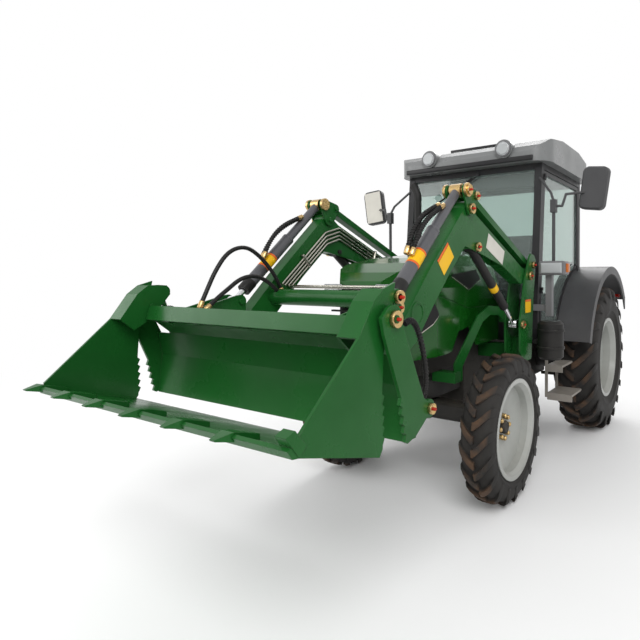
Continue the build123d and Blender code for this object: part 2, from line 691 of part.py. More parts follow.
# Level links and bell cranks
link_sketch = Polygon(beside(mast_level_pin, crank_level_pin, 0, -22),
                      beside(mast_level_pin, crank_level_pin, 0, 22),
                      beside(mast_level_pin, crank_level_pin, span(mast_level_pin, crank_level_pin), 22),
                      beside(mast_level_pin, crank_level_pin, span(mast_level_pin, crank_level_pin), -22),
                      align=None)
link_sketch += disc(mast_level_pin, 30)
link_sketch += disc(crank_level_pin, 30)
link = side_extrude(link_sketch, arm_centre - 32, arm_centre + 32)
link += cross_pin(mast_level_pin, pin_radius, mast_inner - mast_plate - 16,
                  mast_outer + mast_plate + 16)
link += cross_pin(crank_level_pin, pin_radius, crank_inner - crank_plate - 14,
                  crank_outer + crank_plate + 14)
save(both_sides(link), "level_links")
crank_sketch = Sketch() + make_hull([*disc(crank_pivot, 42).edges(), *disc(crank_level_pin, 36).edges(),
                                     *disc(crank_tilt_pin, 38).edges()])
crank_sketch -= disc(crank_tilt_pin, pin_radius + pin_clearance)
crank_sketch -= disc(crank_level_pin, pin_radius + pin_clearance)
crank = side_extrude(crank_sketch, crank_outer, crank_outer + crank_plate)
crank += side_extrude(crank_sketch, crank_inner - crank_plate, crank_inner)
crank += cross_pin(crank_pivot, pin_radius, crank_inner - crank_plate - 14,
                   crank_outer + crank_plate + 14)
save(both_sides(crank), "bell_cranks")

# Lift cylinders: the barrel is pinned inside the gusset, the rod's eye sits in the mast
lift_eye = 34
lift_start = (arm_centre, *lift_boom_pin)
lift_gland = (arm_centre, *between(lift_boom_pin, lift_mast_pin, lift_barrel_length))
lift_bore_start = (arm_centre, *between(lift_boom_pin, lift_mast_pin, 52))
lift_barrel = rod(lift_start, lift_gland, lift_barrel_radius)
lift_barrel += cross_pin(lift_boom_pin, lift_eye, arm_centre - 30, arm_centre + 30)
lift_barrel -= rod(lift_bore_start, (arm_centre, *between(lift_boom_pin, lift_mast_pin, 900)),
                   lift_rod_radius + rod_clearance)
lift_barrel += cross_pin(lift_boom_pin, pin_radius, arm_inner - 16, arm_outer + 16)
save(both_sides(lift_barrel), "lift_barrels")
lift_rod = rod((arm_centre, *between(lift_boom_pin, lift_mast_pin, 60 + lift_retract)),
               (arm_centre, *lift_mast_pin), lift_rod_radius)
lift_rod += cross_pin(lift_mast_pin, lift_eye, arm_centre - 30, arm_centre + 30)
save(both_sides(lift_rod), "lift_rods")

# Tilt cylinders: a long neck and barrel from the crank, the rod's eye between the bucket's ears
tilt_pin = cross_pin(crank_tilt_pin, pin_radius,
                     crank_inner - crank_plate - tilt_head_thickness,
                     crank_outer + crank_plate + tilt_head_thickness)
tilt_pin += cross_pin(crank_tilt_pin, tilt_eye_radius, arm_centre - 36, arm_centre + 36)
tilt_pin += cross_pin(crank_tilt_pin, tilt_head_radius,
                      crank_inner - crank_plate - tilt_head_thickness,
                      crank_inner - crank_plate - seat)
tilt_pin += cross_pin(crank_tilt_pin, tilt_head_radius, crank_outer + crank_plate + seat,
                      crank_outer + crank_plate + tilt_head_thickness)
save(both_sides(tilt_pin), "tilt_pins")
tilt_span = span(crank_tilt_pin, tilt_ear)
tilt_start = (arm_centre, *crank_tilt_pin)


def tilt_point(distance):
    """The point on the tilt cylinder's axis at a distance from its upper pin."""
    return (arm_centre, *between(crank_tilt_pin, tilt_ear, distance))


tilt_barrel = rod(tilt_start, tilt_point(tilt_neck_length), tilt_neck_radius)
tilt_barrel += rod(tilt_point(tilt_neck_length), tilt_point(tilt_barrel_length), tilt_barrel_radius)
tilt_barrel -= cross_pin(crank_tilt_pin, tilt_eye_radius + pin_clearance,
                          arm_centre - 40, arm_centre + 40)
tilt_barrel -= rod(tilt_point(tilt_bore_start), tilt_point(tilt_barrel_length + 50),
                   tilt_rod_radius + rod_clearance)
save(both_sides(tilt_barrel), "tilt_barrels")
tilt_rod = rod(tilt_point(tilt_bore_start + 10 + tilt_retract), tilt_point(tilt_span),
               tilt_rod_radius)
tilt_rod += cross_pin(tilt_ear, 32, arm_centre - 28, arm_centre + 28)
save(both_sides(tilt_rod), "tilt_rods")

# Bucket back frame
beam_outline = Polygon((-1637, 1366), (-1661, 1290), (-1566, 1262), (-1542, 1338), align=None)
beam = side_extrude(beam_outline, -beam_half_width, beam_half_width)
wall_front = ((-1612, 1280), (-1518, 1206), (-1489, 1072), (-1515, 850))
wall_outline = Polygon(*wall_front, (-1505, 850), (-1479, 1072), (-1508, 1212), (-1580, 1290),
                       align=None)
moldboard = side_extrude(wall_outline, -bucket_half_width, bucket_half_width)
notch = side_plate([(-1700, 1200), (-1400, 1200), (-1400, 1400), (-1700, 1400)],
                   beam_half_width, bucket_half_width + 1)
moldboard -= [notch, mirrored(notch)]
moldboard += beam
moldboard += side_extrude(Polygon((-1512, 850), (-1440, 850), (-1440, 866), (-1512, 866),
                                  align=None), -bucket_half_width, bucket_half_width)
bucket_side = Polygon((-1699, 1368), (-1682, 1303), (-1571, 1044),
                      *serration((-1571, 1044), (-1527, 851), 5, 16), (-1527, 851),
                      (-1460, 868), (-1369, 925), (-1360, 982), (-1401, 1011), (-1566, 1347),
                      align=None)
bucket_side += disc(clam_pivot, 56)
bucket_side += Polygon((-1699, 1368), (-1655, 1405), (-1590, 1400), (-1600, 1300), align=None)
bucket_side += disc(clam_lower_pin, 40)
bucket_side_solid = side_extrude(bucket_side, bucket_half_width, bucket_half_width + bucket_side_plate)
side_pin = cross_pin(clam_pivot, pin_radius, beam_half_width, bucket_half_width + bucket_side_plate + 16)
ear_outline = Polygon((-1600, 1300), (-1540, 1340), (-1240, 1412), (-1180, 1370), (-1190, 1110),
                      (-1240, 1075), (-1480, 1000), (-1490, 1072), (-1512, 1206), align=None)
ear_outline += disc(tilt_ear, 40)
ear_outline += disc(bucket_hinge, 50)
ear = side_extrude(ear_outline, crank_outer, crank_outer + crank_plate)
ear += side_extrude(ear_outline, crank_inner - crank_plate, crank_inner)
ear += cross_pin(bucket_hinge, pin_radius, crank_inner - crank_plate - 14,
                 crank_outer + crank_plate + 14)
ear += cross_pin(tilt_ear, pin_radius, crank_outer, crank_outer + crank_plate + 14)
ear += cross_pin(tilt_ear, pin_radius, crank_inner - crank_plate - 14, crank_inner)
bucket_frame = moldboard + [bucket_side_solid, mirrored(bucket_side_solid), side_pin,
                            mirrored(side_pin)]
bucket_frame += [ear, mirrored(ear)]
save(bucket_frame, "bucket")

# Clam: two triangular sides, a sloping floor and boxed arms up to the cylinder pins
clam_side = Polygon((-1671, 832), (-1650, 860), (-1650, 872),
                    *serration((-1650, 872), (-1652, 1072), 5, -14), (-1652, 1072),
                    (-1640, 1229), (-1600, 1310), (-1560, 1500), (-1640, 1476), (-1700, 1430),
                    (-1793, 1300), (-2110, 1010), (-2092, 968), align=None)
clam_plate = side_extrude(clam_side, clam_half_width - clam_side_plate, clam_half_width)
arm_curve = Polygon((-1660, 1270), (-1590, 1330), (-1510, 1425), (-1530, 1474), (-1580, 1478),
                    (-1640, 1476), (-1700, 1430), (-1793, 1300), (-1720, 1235), align=None)
clam_inner_plate = side_extrude(arm_curve + disc(clam_pivot, 46) + disc(clam_upper_pin, 34),
                                clam_arm_inner, clam_arm_inner + clam_side_plate)
clam_outer_boss = side_extrude(disc(clam_pivot, 46) + disc(clam_upper_pin, 34),
                               clam_half_width - clam_side_plate, clam_half_width)
clam_strip = side_plate([(-1640, 1476), (-1700, 1430), (-1793, 1300), (-1784, 1294), (-1692, 1422),
                         (-1634, 1466)], clam_arm_inner, clam_half_width)
clam_hole = cross_pin(clam_pivot, pin_radius + pin_clearance, 700, 900)
clam_arm = clam_plate + clam_inner_plate + clam_outer_boss + clam_strip
clam_arm -= clam_hole
clam_arm += cross_pin(clam_upper_pin, pin_radius, clam_half_width - clam_side_plate,
                      clam_half_width + 14)
clam_floor = side_plate([(-1671, 832), (-1664, 846), (-2090, 975), (-2125, 1000), (-2140, 992),
                         (-2120, 962), (-2092, 958)], -clam_half_width, clam_half_width)
clam = clam_floor + [clam_arm, mirrored(clam_arm)]
end_block = side_plate([(-2092, 958), (-2150, 1035), (-2110, 1050), (-2060, 990)],
                       clam_half_width - 48, clam_half_width + 4)
clam += end_block
save(clam, "clam")

tooth_side = Polygon((-2194, 994), (-2130, 1008), (-2085, 996), (-2010, 972), (-2014, 948),
                     (-2090, 965), (-2120, 972), (-2190, 988), align=None)
tooth_plan = Polygon((-tooth_width / 2, -2020), (tooth_width / 2, -2020), (tooth_width / 2, -2130),
                     (12, -2194), (-12, -2194), (-tooth_width / 2, -2130), align=None)
tooth = side_extrude(tooth_side, -tooth_width / 2, tooth_width / 2)
tooth &= extrude(Plane.XY.offset(900) * tooth_plan, amount=200, dir=(0, 0, 1))
teeth = []
for index in range(tooth_count):
    parts_of_tooth = (Pos(tooth_pitch * (index - tooth_count / 2), 0, 0) * tooth - clam).solids()
    teeth.append(max(parts_of_tooth, key=lambda solid: solid.volume))
save(joined(*teeth), "teeth")

# Clam cylinders between the side plates' lugs and the arms' upper pins
clam_barrel_end = between(clam_lower_pin, clam_upper_pin, clam_barrel_length)
clam_barrel = rod((clam_cylinder_x, *clam_lower_pin), (clam_cylinder_x, *clam_barrel_end),
                  clam_barrel_radius)
clam_barrel += cross_pin(clam_lower_pin, 30, clam_cylinder_x - 26, clam_cylinder_x + 26)
clam_barrel += cross_pin(clam_lower_pin, pin_radius, clam_cylinder_x + 26,
                         bucket_half_width - seat)
clam_barrel -= rod((clam_cylinder_x, *between(clam_lower_pin, clam_upper_pin, 50)),
                   (clam_cylinder_x, *clam_upper_pin), clam_rod_radius + rod_clearance)
save(both_sides(clam_barrel), "clam_barrels")
clam_rod = rod((clam_cylinder_x, *between(clam_lower_pin, clam_upper_pin, 130)),
               (clam_cylinder_x, *clam_upper_pin), clam_rod_radius)
clam_rod += cross_pin(clam_upper_pin, 28, clam_cylinder_x - 24, clam_cylinder_x + 24)
save(both_sides(clam_rod), "clam_rods")

# Exhaust pipe, side canister, steps, mirrors and lamps
exhaust = tube((-exhaust_x, exhaust_y, 1750), (-exhaust_x, exhaust_y, 2230), 32, 27)
exhaust += rod((-exhaust_x, exhaust_y, 1250), (-exhaust_x, exhaust_y, 1750), 60)
exhaust += block(-exhaust_x - 16, -exhaust_x + 16, exhaust_y, cab_front - seat,
                 waist - 70, waist - 10)
save(exhaust, "exhaust")

canister = Pos(canister_x, canister_y, (canister_bottom + canister_top) / 2) * Cylinder(
    canister_radius, canister_top - canister_bottom)
canister = chamfer(canister.edges(), 20)
canister += Pos(canister_x, canister_y, canister_bottom + 90) * Cylinder(canister_radius + 8, 16)
canister += Pos(canister_x, canister_y, canister_top - 70) * Cylinder(canister_radius + 8, 16)
canister += block(cab_half_width + seat, canister_x, canister_y, cab_front + 60,
                  cab_floor_bottom, cab_floor_bottom + 30)
save(canister, "side_canister")

step_frame = block(step_x - 20, step_x + 4, step_y - 150, step_y - 138, 480, cab_floor_bottom - seat)
step_frame += block(step_x - 20, step_x + 4, step_y + 138, step_y + 150, 480, cab_floor_bottom - seat)
for reach, height in ((60, 760), (140, 520)):
    step_frame += block(step_x, step_x + reach + 70, step_y - 150, step_y + 150, height - 18, height)
    step_frame += block(step_x, step_x + reach + 70, step_y - 150, step_y - 138, height - 60, height)
save(both_sides(step_frame), "steps")

lamp_box = block(lamp_x - 105, lamp_x + 105, lamp_y - 60, lamp_y + 60, lamp_z - 60, lamp_z + 50)
lamp_box = fillet(lamp_box.edges().filter_by(Axis.Y), 18)
lamp_box = chamfer(lamp_box.faces().sort_by(Axis.Y)[0].edges(), 10)
lamp_box += block(lamp_x - 60, lamp_x - 10, lamp_y - 15, lamp_y + 35, canister_top + 30, lamp_z - 60)
lamp_box += block(cab_half_width - 60, lamp_x - 10, cab_front - 24, cab_front - seat, 1240, 1290)
save(both_sides(lamp_box), "front_lamps")

# Each mirror stands on a pole over its lamp, with a stay to the cab's front post
mirror_shell = fillet(Box(200, 60, 330).edges().filter_by(Axis.Y), 45)
mirror_shell = chamfer(mirror_shell.faces().sort_by(Axis.Y)[0].edges(), 14)
mirror_head = Pos(mirror_x, mirror_y, mirror_z) * Rot(0, 8, -10) * mirror_shell
pole_foot = (lamp_x, lamp_y, lamp_z + 50 + seat)
pole_top = (lamp_x, lamp_y, 2100)
mirror_set = rod(pole_foot, pole_top, 13)
mirror_set += block(lamp_x - 22, lamp_x + 22, lamp_y - 24, lamp_y + 24, 2010, 2110)
mirror_set += bent([(lamp_x, lamp_y, 2060), (lamp_x + 60, lamp_y + 20, 2060),
                    (lamp_x + 85, lamp_y + 35, 2150), (mirror_x - 70, mirror_y - 15, 2165)], 10)
mirror_set += bent([(lamp_x, lamp_y, 2095), (lamp_x - 30, lamp_y + 25, 2170),
                    (cab_half_width - pillar / 2, cab_front + 110, 2330)], 10) - cab_frame
mirror_set += mirror_head
save(both_sides(mirror_set), "mirrors")

# Rear hitch: lower links, drawbar and power take-off
lower_link = side_plate([(wheelbase + 60, 440), (wheelbase + 60, 500), (lower_link_end[0], 590),
                         (lower_link_end[0], 530)], -14, 14)
lower_link += cross_pin(lower_link_end, link_ball_radius, -20, 20)
lower_link -= cross_pin(lower_link_end, link_bore_radius, -30, 30)
lower_link = Pos(lower_link_half, 0, 0) * lower_link
lower_link += cross_pin((wheelbase + 80, 470), 18, gearbox_half_width + seat, lower_link_half)
save(both_sides(lower_link), "lower_links")
hitch = block(-150, 150, gearbox_rear + seat, gearbox_rear + 60, gearbox_bottom, gearbox_top - 120)
hitch += block(-40, 40, gearbox_rear + 60, gearbox_rear + 260, drawbar_height + 60,
               drawbar_height + 90)
hitch -= Pos(0, gearbox_rear + 220, drawbar_height + 75) * Cylinder(drawbar_bore_radius, 60)
hitch += Pos(0, gearbox_rear + 60, 620) * Rot(-90, 0, 0) * Cylinder(
    pto_radius, 75, align=(Align.CENTER, Align.CENTER, Align.MIN))
save(hitch, "drawbar")
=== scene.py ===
"""Looks of a green farm tractor with a front loader and a bucket that opens like a clamshell.

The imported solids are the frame. This script gives them their finishes, and adds the small
pieces that the solids leave out. All places are in metres: +Z is up, the tractor faces -Y
and +X is the driver's left.
"""

from __future__ import annotations

import logging
import math
from collections.abc import Callable, Sequence
from dataclasses import dataclass, field
from enum import Enum

import bmesh
import bpy
from mathutils import Matrix, Vector

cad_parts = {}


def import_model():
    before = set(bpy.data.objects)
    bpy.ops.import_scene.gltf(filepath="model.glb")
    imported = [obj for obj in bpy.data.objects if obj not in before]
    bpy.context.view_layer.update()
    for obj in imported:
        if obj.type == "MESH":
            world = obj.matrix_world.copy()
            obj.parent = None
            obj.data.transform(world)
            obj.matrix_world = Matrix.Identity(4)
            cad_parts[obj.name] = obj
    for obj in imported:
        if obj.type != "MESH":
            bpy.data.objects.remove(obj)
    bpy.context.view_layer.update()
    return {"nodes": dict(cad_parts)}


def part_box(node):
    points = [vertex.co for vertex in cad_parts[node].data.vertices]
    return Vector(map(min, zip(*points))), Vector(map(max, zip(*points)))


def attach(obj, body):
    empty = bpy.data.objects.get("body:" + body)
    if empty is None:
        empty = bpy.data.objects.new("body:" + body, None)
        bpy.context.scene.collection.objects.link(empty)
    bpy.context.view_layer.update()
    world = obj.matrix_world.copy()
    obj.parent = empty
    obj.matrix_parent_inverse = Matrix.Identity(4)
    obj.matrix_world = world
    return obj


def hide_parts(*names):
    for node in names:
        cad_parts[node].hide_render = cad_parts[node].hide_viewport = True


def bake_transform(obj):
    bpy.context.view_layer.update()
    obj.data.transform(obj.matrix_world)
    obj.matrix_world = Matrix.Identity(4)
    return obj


Point = tuple[float, float, float]
Colour = tuple[float, float, float, float]
Spot = tuple[float, float]
Outline = tuple[Spot, ...]
log = logging.getLogger("tractor")


class Side(Enum):
    """A side of the tractor, as the driver sees it."""

    LEFT = 1
    RIGHT = -1

    @property
    def word(self) -> str:
        """The side's name in lower case."""
        return self.name.lower()


class Forge:
    """Mesh work by operators: a primitive is added, shaped in edit mode, then finished."""

    ALIKE = 0.9
    WELD = 0.00005
    SHADE_ANGLE = 40.0

    @staticmethod
    def clear() -> None:
        """Leave edit mode and deselect everything."""
        if bpy.context.object is not None and bpy.context.object.mode != "OBJECT":
            bpy.ops.object.mode_set(mode="OBJECT")
        bpy.ops.object.select_all(action="DESELECT")

    @staticmethod
    def only(piece: bpy.types.Object) -> None:
        """Select one piece and make it active.

        Args:
            piece: The object to work on.
        """
        Forge.clear()
        piece.select_set(True)
        bpy.context.view_layer.objects.active = piece

    @staticmethod
    def take(name: str) -> bpy.types.Object:
        """Name the object that an operator just added.

        Args:
            name: The piece's name.

        Returns:
            The active object.
        """
        piece = bpy.context.object
        piece.name = name
        piece.data.name = name
        return piece

    @staticmethod
    def settle(piece: bpy.types.Object) -> bpy.types.Object:
        """Move the piece's place into its mesh.

        Args:
            piece: The object whose transform is applied.

        Returns:
            The same object, at the origin.
        """
        Forge.only(piece)
        bpy.ops.object.transform_apply(location=True, rotation=True, scale=True)
        return piece

    @staticmethod
    def block(name: str, low: Sequence[float], high: Sequence[float]) -> bpy.types.Object:
        """A box between two corners.

        Args:
            name: The piece's name.
            low: The lowest corner.
            high: The highest corner.

        Returns:
            The new object.
        """
        Forge.clear()
        centre = [(a + b) / 2 for a, b in zip(low, high)]
        size = [abs(b - a) for a, b in zip(low, high)]
        bpy.ops.mesh.primitive_cube_add(size=1.0, location=centre, scale=size)
        return Forge.settle(Forge.take(name))

    @staticmethod
    def drum(
        name: str, start: Sequence[float], end: Sequence[float], radius: float, sides: int = 32
    ) -> bpy.types.Object:
        """A closed cylinder between two points.

        Args:
            name: The piece's name.
            start: The middle of one end.
            end: The middle of the other end.
            radius: The cylinder's radius.
            sides: How many faces go round.

        Returns:
            The new object.
        """
        Forge.clear()
        first, last = Vector(start), Vector(end)
        line = last - first
        turn = Vector((0, 0, 1)).rotation_difference(line).to_euler()
        bpy.ops.mesh.primitive_cylinder_add(
            vertices=sides,
            radius=radius,
            depth=line.length,
            location=(first + last) / 2,
            rotation=turn,
        )
        return Forge.settle(Forge.take(name))

    @staticmethod
    def faces(piece: bpy.types.Object, test: Callable[[bmesh.types.BMFace], bool]) -> int:
        """Enter edit mode with only the faces selected that pass a test.

        Args:
            piece: The object to edit.
            test: Says of each face whether it is selected.

        Returns:
            How many faces are selected.
        """
        Forge.only(piece)
        bpy.ops.object.mode_set(mode="EDIT")
        bpy.ops.mesh.select_mode(type="FACE")
        bpy.ops.mesh.select_all(action="DESELECT")
        mesh = bmesh.from_edit_mesh(piece.data)
        count = 0
        for face in mesh.faces:
            if test(face):
                face.select_set(True)
                count += 1
        bmesh.update_edit_mesh(piece.data)
        return count

    @staticmethod
    def facing(x: float = 0, y: float = 0, z: float = 0) -> Callable[[bmesh.types.BMFace], bool]:
        """A test for faces that look one way.

        Args:
            x: The way's share across.
            y: Its share back.
            z: Its share up.

        Returns:
            The test.
        """
        way = Vector((x, y, z))
        return lambda face: face.normal.dot(way) > Forge.ALIKE

    @staticmethod
    def inset(
        piece: bpy.types.Object,
        test: Callable[[bmesh.types.BMFace], bool],
        rim: float,
        depth: float,
    ) -> bpy.types.Object:
        """Draw the chosen faces in by a rim, and move them along their normals.

        Args:
            piece: The object to edit.
            test: Says which faces are drawn in.
            rim: The width of the rim that is left.
            depth: How far the faces move out, or in when it is negative.

        Returns:
            The same object.
        """
        if Forge.faces(piece, test):
            bpy.ops.mesh.inset(thickness=rim, depth=depth)
        bpy.ops.object.mode_set(mode="OBJECT")
        return piece

    @staticmethod
    def soften(
        piece: bpy.types.Object, width: float, segments: int = 2, angle: float = 30.0
    ) -> bpy.types.Object:
        """Round the piece's sharp edges with an applied bevel, and smooth its shading.

        Args:
            piece: The object to finish.
            width: The width of the bevel.
            segments: How many faces make up the round.
            angle: Edges sharper than this are rounded, in degrees.

        Returns:
            The same object.
        """
        Forge.only(piece)
        bevel = piece.modifiers.new("soft_edges", "BEVEL")
        bevel.width = width
        bevel.segments = segments
        bevel.limit_method = "ANGLE"
        bevel.angle_limit = math.radians(angle)
        bpy.ops.object.modifier_apply(modifier=bevel.name)
        return Forge.smooth(piece, Forge.SHADE_ANGLE)

    @staticmethod
    def joined(name: str, pieces: Sequence[bpy.types.Object]) -> bpy.types.Object:
        """Join several objects into one mesh.

        Args:
            name: The name of the result.
            pieces: The objects to join.

        Returns:
            The joined object.
        """
        Forge.clear()
        for piece in pieces:
            piece.select_set(True)
        bpy.context.view_layer.objects.active = pieces[0]
        bpy.ops.object.join()
        return Forge.take(name)

    @staticmethod
    def copies(
        source: bpy.types.Object, places: Sequence[Matrix], name: str
    ) -> bpy.types.Object:
        """Copy a piece to several places and join the copies.

        Args:
            source: The piece that is copied, which is removed afterwards.
            places: One matrix for each copy.
            name: The name of the joined piece.

        Returns:
            The joined copies.
        """
        made = []
        for place in places:
            twin = source.copy()
            twin.data = source.data.copy()
            twin.data.transform(place)
            bpy.context.scene.collection.objects.link(twin)
            made.append(twin)
        bpy.data.objects.remove(source)
        return Forge.joined(name, made)

    @staticmethod
    def smooth(piece: bpy.types.Object, angle: float) -> bpy.types.Object:
        """Smooth the shading of edges flatter than an angle.

        Args:
            piece: The object to shade.
            angle: The angle in degrees.

        Returns:
            The same object.
        """
        Forge.only(piece)
        bpy.ops.object.shade_smooth_by_angle(angle=math.radians(angle))
        return piece

    @staticmethod
    def outward(piece: bpy.types.Object) -> bpy.types.Object:
        """Turn every face outwards.

        Args:
            piece: A closed mesh.

        Returns:
            The same object.
        """
        Forge.faces(piece, lambda f: True)
        bpy.ops.mesh.normals_make_consistent(inside=False)
        bpy.ops.object.mode_set(mode="OBJECT")
        return piece

    @staticmethod
    def tilt(piece: bpy.types.Object, degrees: float, centre: Sequence[float]) -> None:
        """Turn a whole piece about an axis along X, by the right-hand rule.

        Args:
            piece: The object to turn.
            degrees: The angle.
            centre: A point on the axis.
        """
        Forge.faces(piece, lambda f: True)
        bpy.ops.transform.rotate(
            value=-math.radians(degrees), orient_axis="X", center_override=Vector(centre)
        )
        bpy.ops.object.mode_set(mode="OBJECT")

    @staticmethod
    def eased(route: Sequence[Point], cut: float) -> list[Point]:
        """Add a point before and after each corner of a route, so that a spline hugs it.

        Args:
            route: The corners.
            cut: How far from a corner the points lie.

        Returns:
            The fuller route.
        """
        full = [tuple(route[0])]
        for before, corner, after in zip(route, route[1:], route[2:]):
            spot = Vector(corner)
            for other in (Vector(before), Vector(after)):
                way = other - spot
                full.append(tuple(spot + way.normalized() * min(cut, way.length * 0.45)))
                if other == Vector(before):
                    full.append(tuple(spot))
        full.append(tuple(route[-1]))
        return full

    @staticmethod
    def hose(
        name: str, route: Sequence[Point], radius: float, sides: int = 12, fineness: int = 6
    ) -> bpy.types.Object:
        """A round bar bent along a route.

        Args:
            name: The piece's name.
            route: The points that steer it.
            radius: The bar's radius.
            sides: How many faces go round.
            fineness: How many steps lie between two points.

        Returns:
            The bar as a mesh.
        """
        Forge.clear()
        curve = bpy.data.curves.new(name, "CURVE")
        curve.dimensions = "3D"
        curve.bevel_depth = radius
        curve.bevel_resolution = max(1, sides // 4)
        curve.use_fill_caps = True
        curve.resolution_u = fineness
        spline = curve.splines.new("NURBS")
        spline.points.add(len(route) - 1)
        for point, place in zip(spline.points, route):
            point.co = (*place, 1.0)
        spline.order_u = 3
        spline.use_endpoint_u = True
        bar = bpy.data.objects.new(name, curve)
        bpy.context.scene.collection.objects.link(bar)
        Forge.only(bar)
        bpy.ops.object.convert(target="MESH")
        bar = Forge.take(name)
        Forge.faces(bar, lambda f: True)
        bpy.ops.mesh.remove_doubles(threshold=Forge.WELD)
        bpy.ops.mesh.normals_make_consistent(inside=False)
        bpy.ops.object.mode_set(mode="OBJECT")
        return Forge.smooth(bar, 50)

    @staticmethod
    def coil(
        name: str, route: Sequence[Point], reach: float, wire: float, turns: int
    ) -> bpy.types.Object:
        """A spiral guard wound round a hose's route.

        The route is first turned into the smooth line that the hose itself follows.

        Args:
            name: The piece's name.
            route: The points that steer the hose.
            reach: The coil's radius.
            wire: The wire's radius.
            turns: How many turns the coil has.

        Returns:
            The coil.
        """
        spots = [Vector(place) for place in route]
        smooth = []
        for step in range(4):
            smooth.append(spots[0].lerp((spots[0] + spots[1]) / 2, step / 4))
        for step in range(4, 8 * (len(spots) - 1)):
            low = min(len(spots) - 2, (step - 4) // 8)
            part = (step - 4) / 8 - low
            a, b = (spots[low] + spots[low + 1]) / 2, spots[low + 1]
            c = (b + spots[min(low + 2, len(spots) - 1)]) / 2
            smooth.append(a.lerp(b, part).lerp(b.lerp(c, part), part))
        smooth.append((spots[-2] + spots[-1]) / 2)
        count = turns * 10
        winding = []
        for k in range(count + 1):
            t = k / count * (len(smooth) - 1.001)
            low = int(t)
            spot = smooth[low].lerp(smooth[low + 1], t - low)
            way = (smooth[low + 1] - smooth[low]).normalized()
            side = Vector((1, 0, 0))
            up = way.cross(side).normalized()
            angle = 2 * math.pi * turns * k / count
            winding.append(tuple(spot + (side * math.cos(angle) + up * math.sin(angle)) * reach))
        return Forge.hose(name, winding, wire, 4, 1)

    @staticmethod
    def skin(
        name: str, corners: Sequence[Point], target: bpy.types.Object, way: int, lift: float,
        thick: float,
    ) -> bpy.types.Object:
        """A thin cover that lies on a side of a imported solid.

        Args:
            name: The piece's name.
            corners: Four corners beside the solid, in order.
            target: The solid.
            way: 1 when the cover lies on the +X side, -1 on the other.
            lift: The gap to the solid.
            thick: The cover's thickness.

        Returns:
            The cover.
        """
        Forge.clear()
        bpy.ops.mesh.primitive_grid_add(x_subdivisions=24, y_subdivisions=10, size=2)
        cover = Forge.take(name)
        a, b, c, d = (Vector(corner) for corner in corners)
        for vertex in cover.data.vertices:
            u, v = (vertex.co.x + 1) / 2, (vertex.co.y + 1) / 2
            vertex.co = a.lerp(b, u).lerp(d.lerp(c, u), v)
        cast = cover.modifiers.new("cast", "SHRINKWRAP")
        cast.target = target
        cast.wrap_method = "PROJECT"
        cast.use_project_x = True
        cast.use_negative_direction = True
        cast.use_positive_direction = True
        cast.offset = lift
        Forge.only(cover)
        bpy.ops.object.modifier_apply(modifier=cast.name)
        shell = cover.modifiers.new("thickness", "SOLIDIFY")
        shell.thickness = thick
        shell.offset = 1.0
        Forge.faces(cover, lambda f: True)
        bpy.ops.mesh.normals_make_consistent(inside=False)
        bpy.ops.object.mode_set(mode="OBJECT")
        if sum(f.normal.x for f in cover.data.polygons) * way < 0:
            Forge.faces(cover, lambda f: True)
            bpy.ops.mesh.flip_normals()
            bpy.ops.object.mode_set(mode="OBJECT")
        bpy.ops.object.modifier_apply(modifier=shell.name)
        return Forge.soften(cover, 0.0008, 1, 50)

    @staticmethod
    def crown(piece: bpy.types.Object, axis: int, rise: float, pitch: float) -> bpy.types.Object:
        """Raise a pad towards its middle and sew shallow channels across it.

        Args:
            piece: The pad.
            axis: 1 for a pad that faces back and forth, 2 for one that faces up.
            rise: How far the middle stands above the edge.
            pitch: The distance between two channels.

        Returns:
            The same pad.
        """
        spots = [vertex.co for vertex in piece.data.vertices]
        low = [min(co[k] for co in spots) for k in range(3)]
        high = [max(co[k] for co in spots) for k in range(3)]
        way = 1 if axis == 2 else -1
        for vertex in piece.data.vertices:
            u = (vertex.co.x - low[0]) / (high[0] - low[0]) * 2 - 1
            other = 3 - axis
            v = (vertex.co[other] - low[other]) / (high[other] - low[other]) * 2 - 1
            middle = (low[axis] + high[axis]) / 2
            if (vertex.co[axis] - middle) * way > 0:
                bulge = (1 - u * u) * (1 - v * v)
                seam = math.exp(-((vertex.co.x % pitch - pitch / 2) / 0.006) ** 2)
                vertex.co[axis] += way * (rise * bulge - 0.006 * seam * min(1.0, bulge * 6))
        return piece


# Shader groups


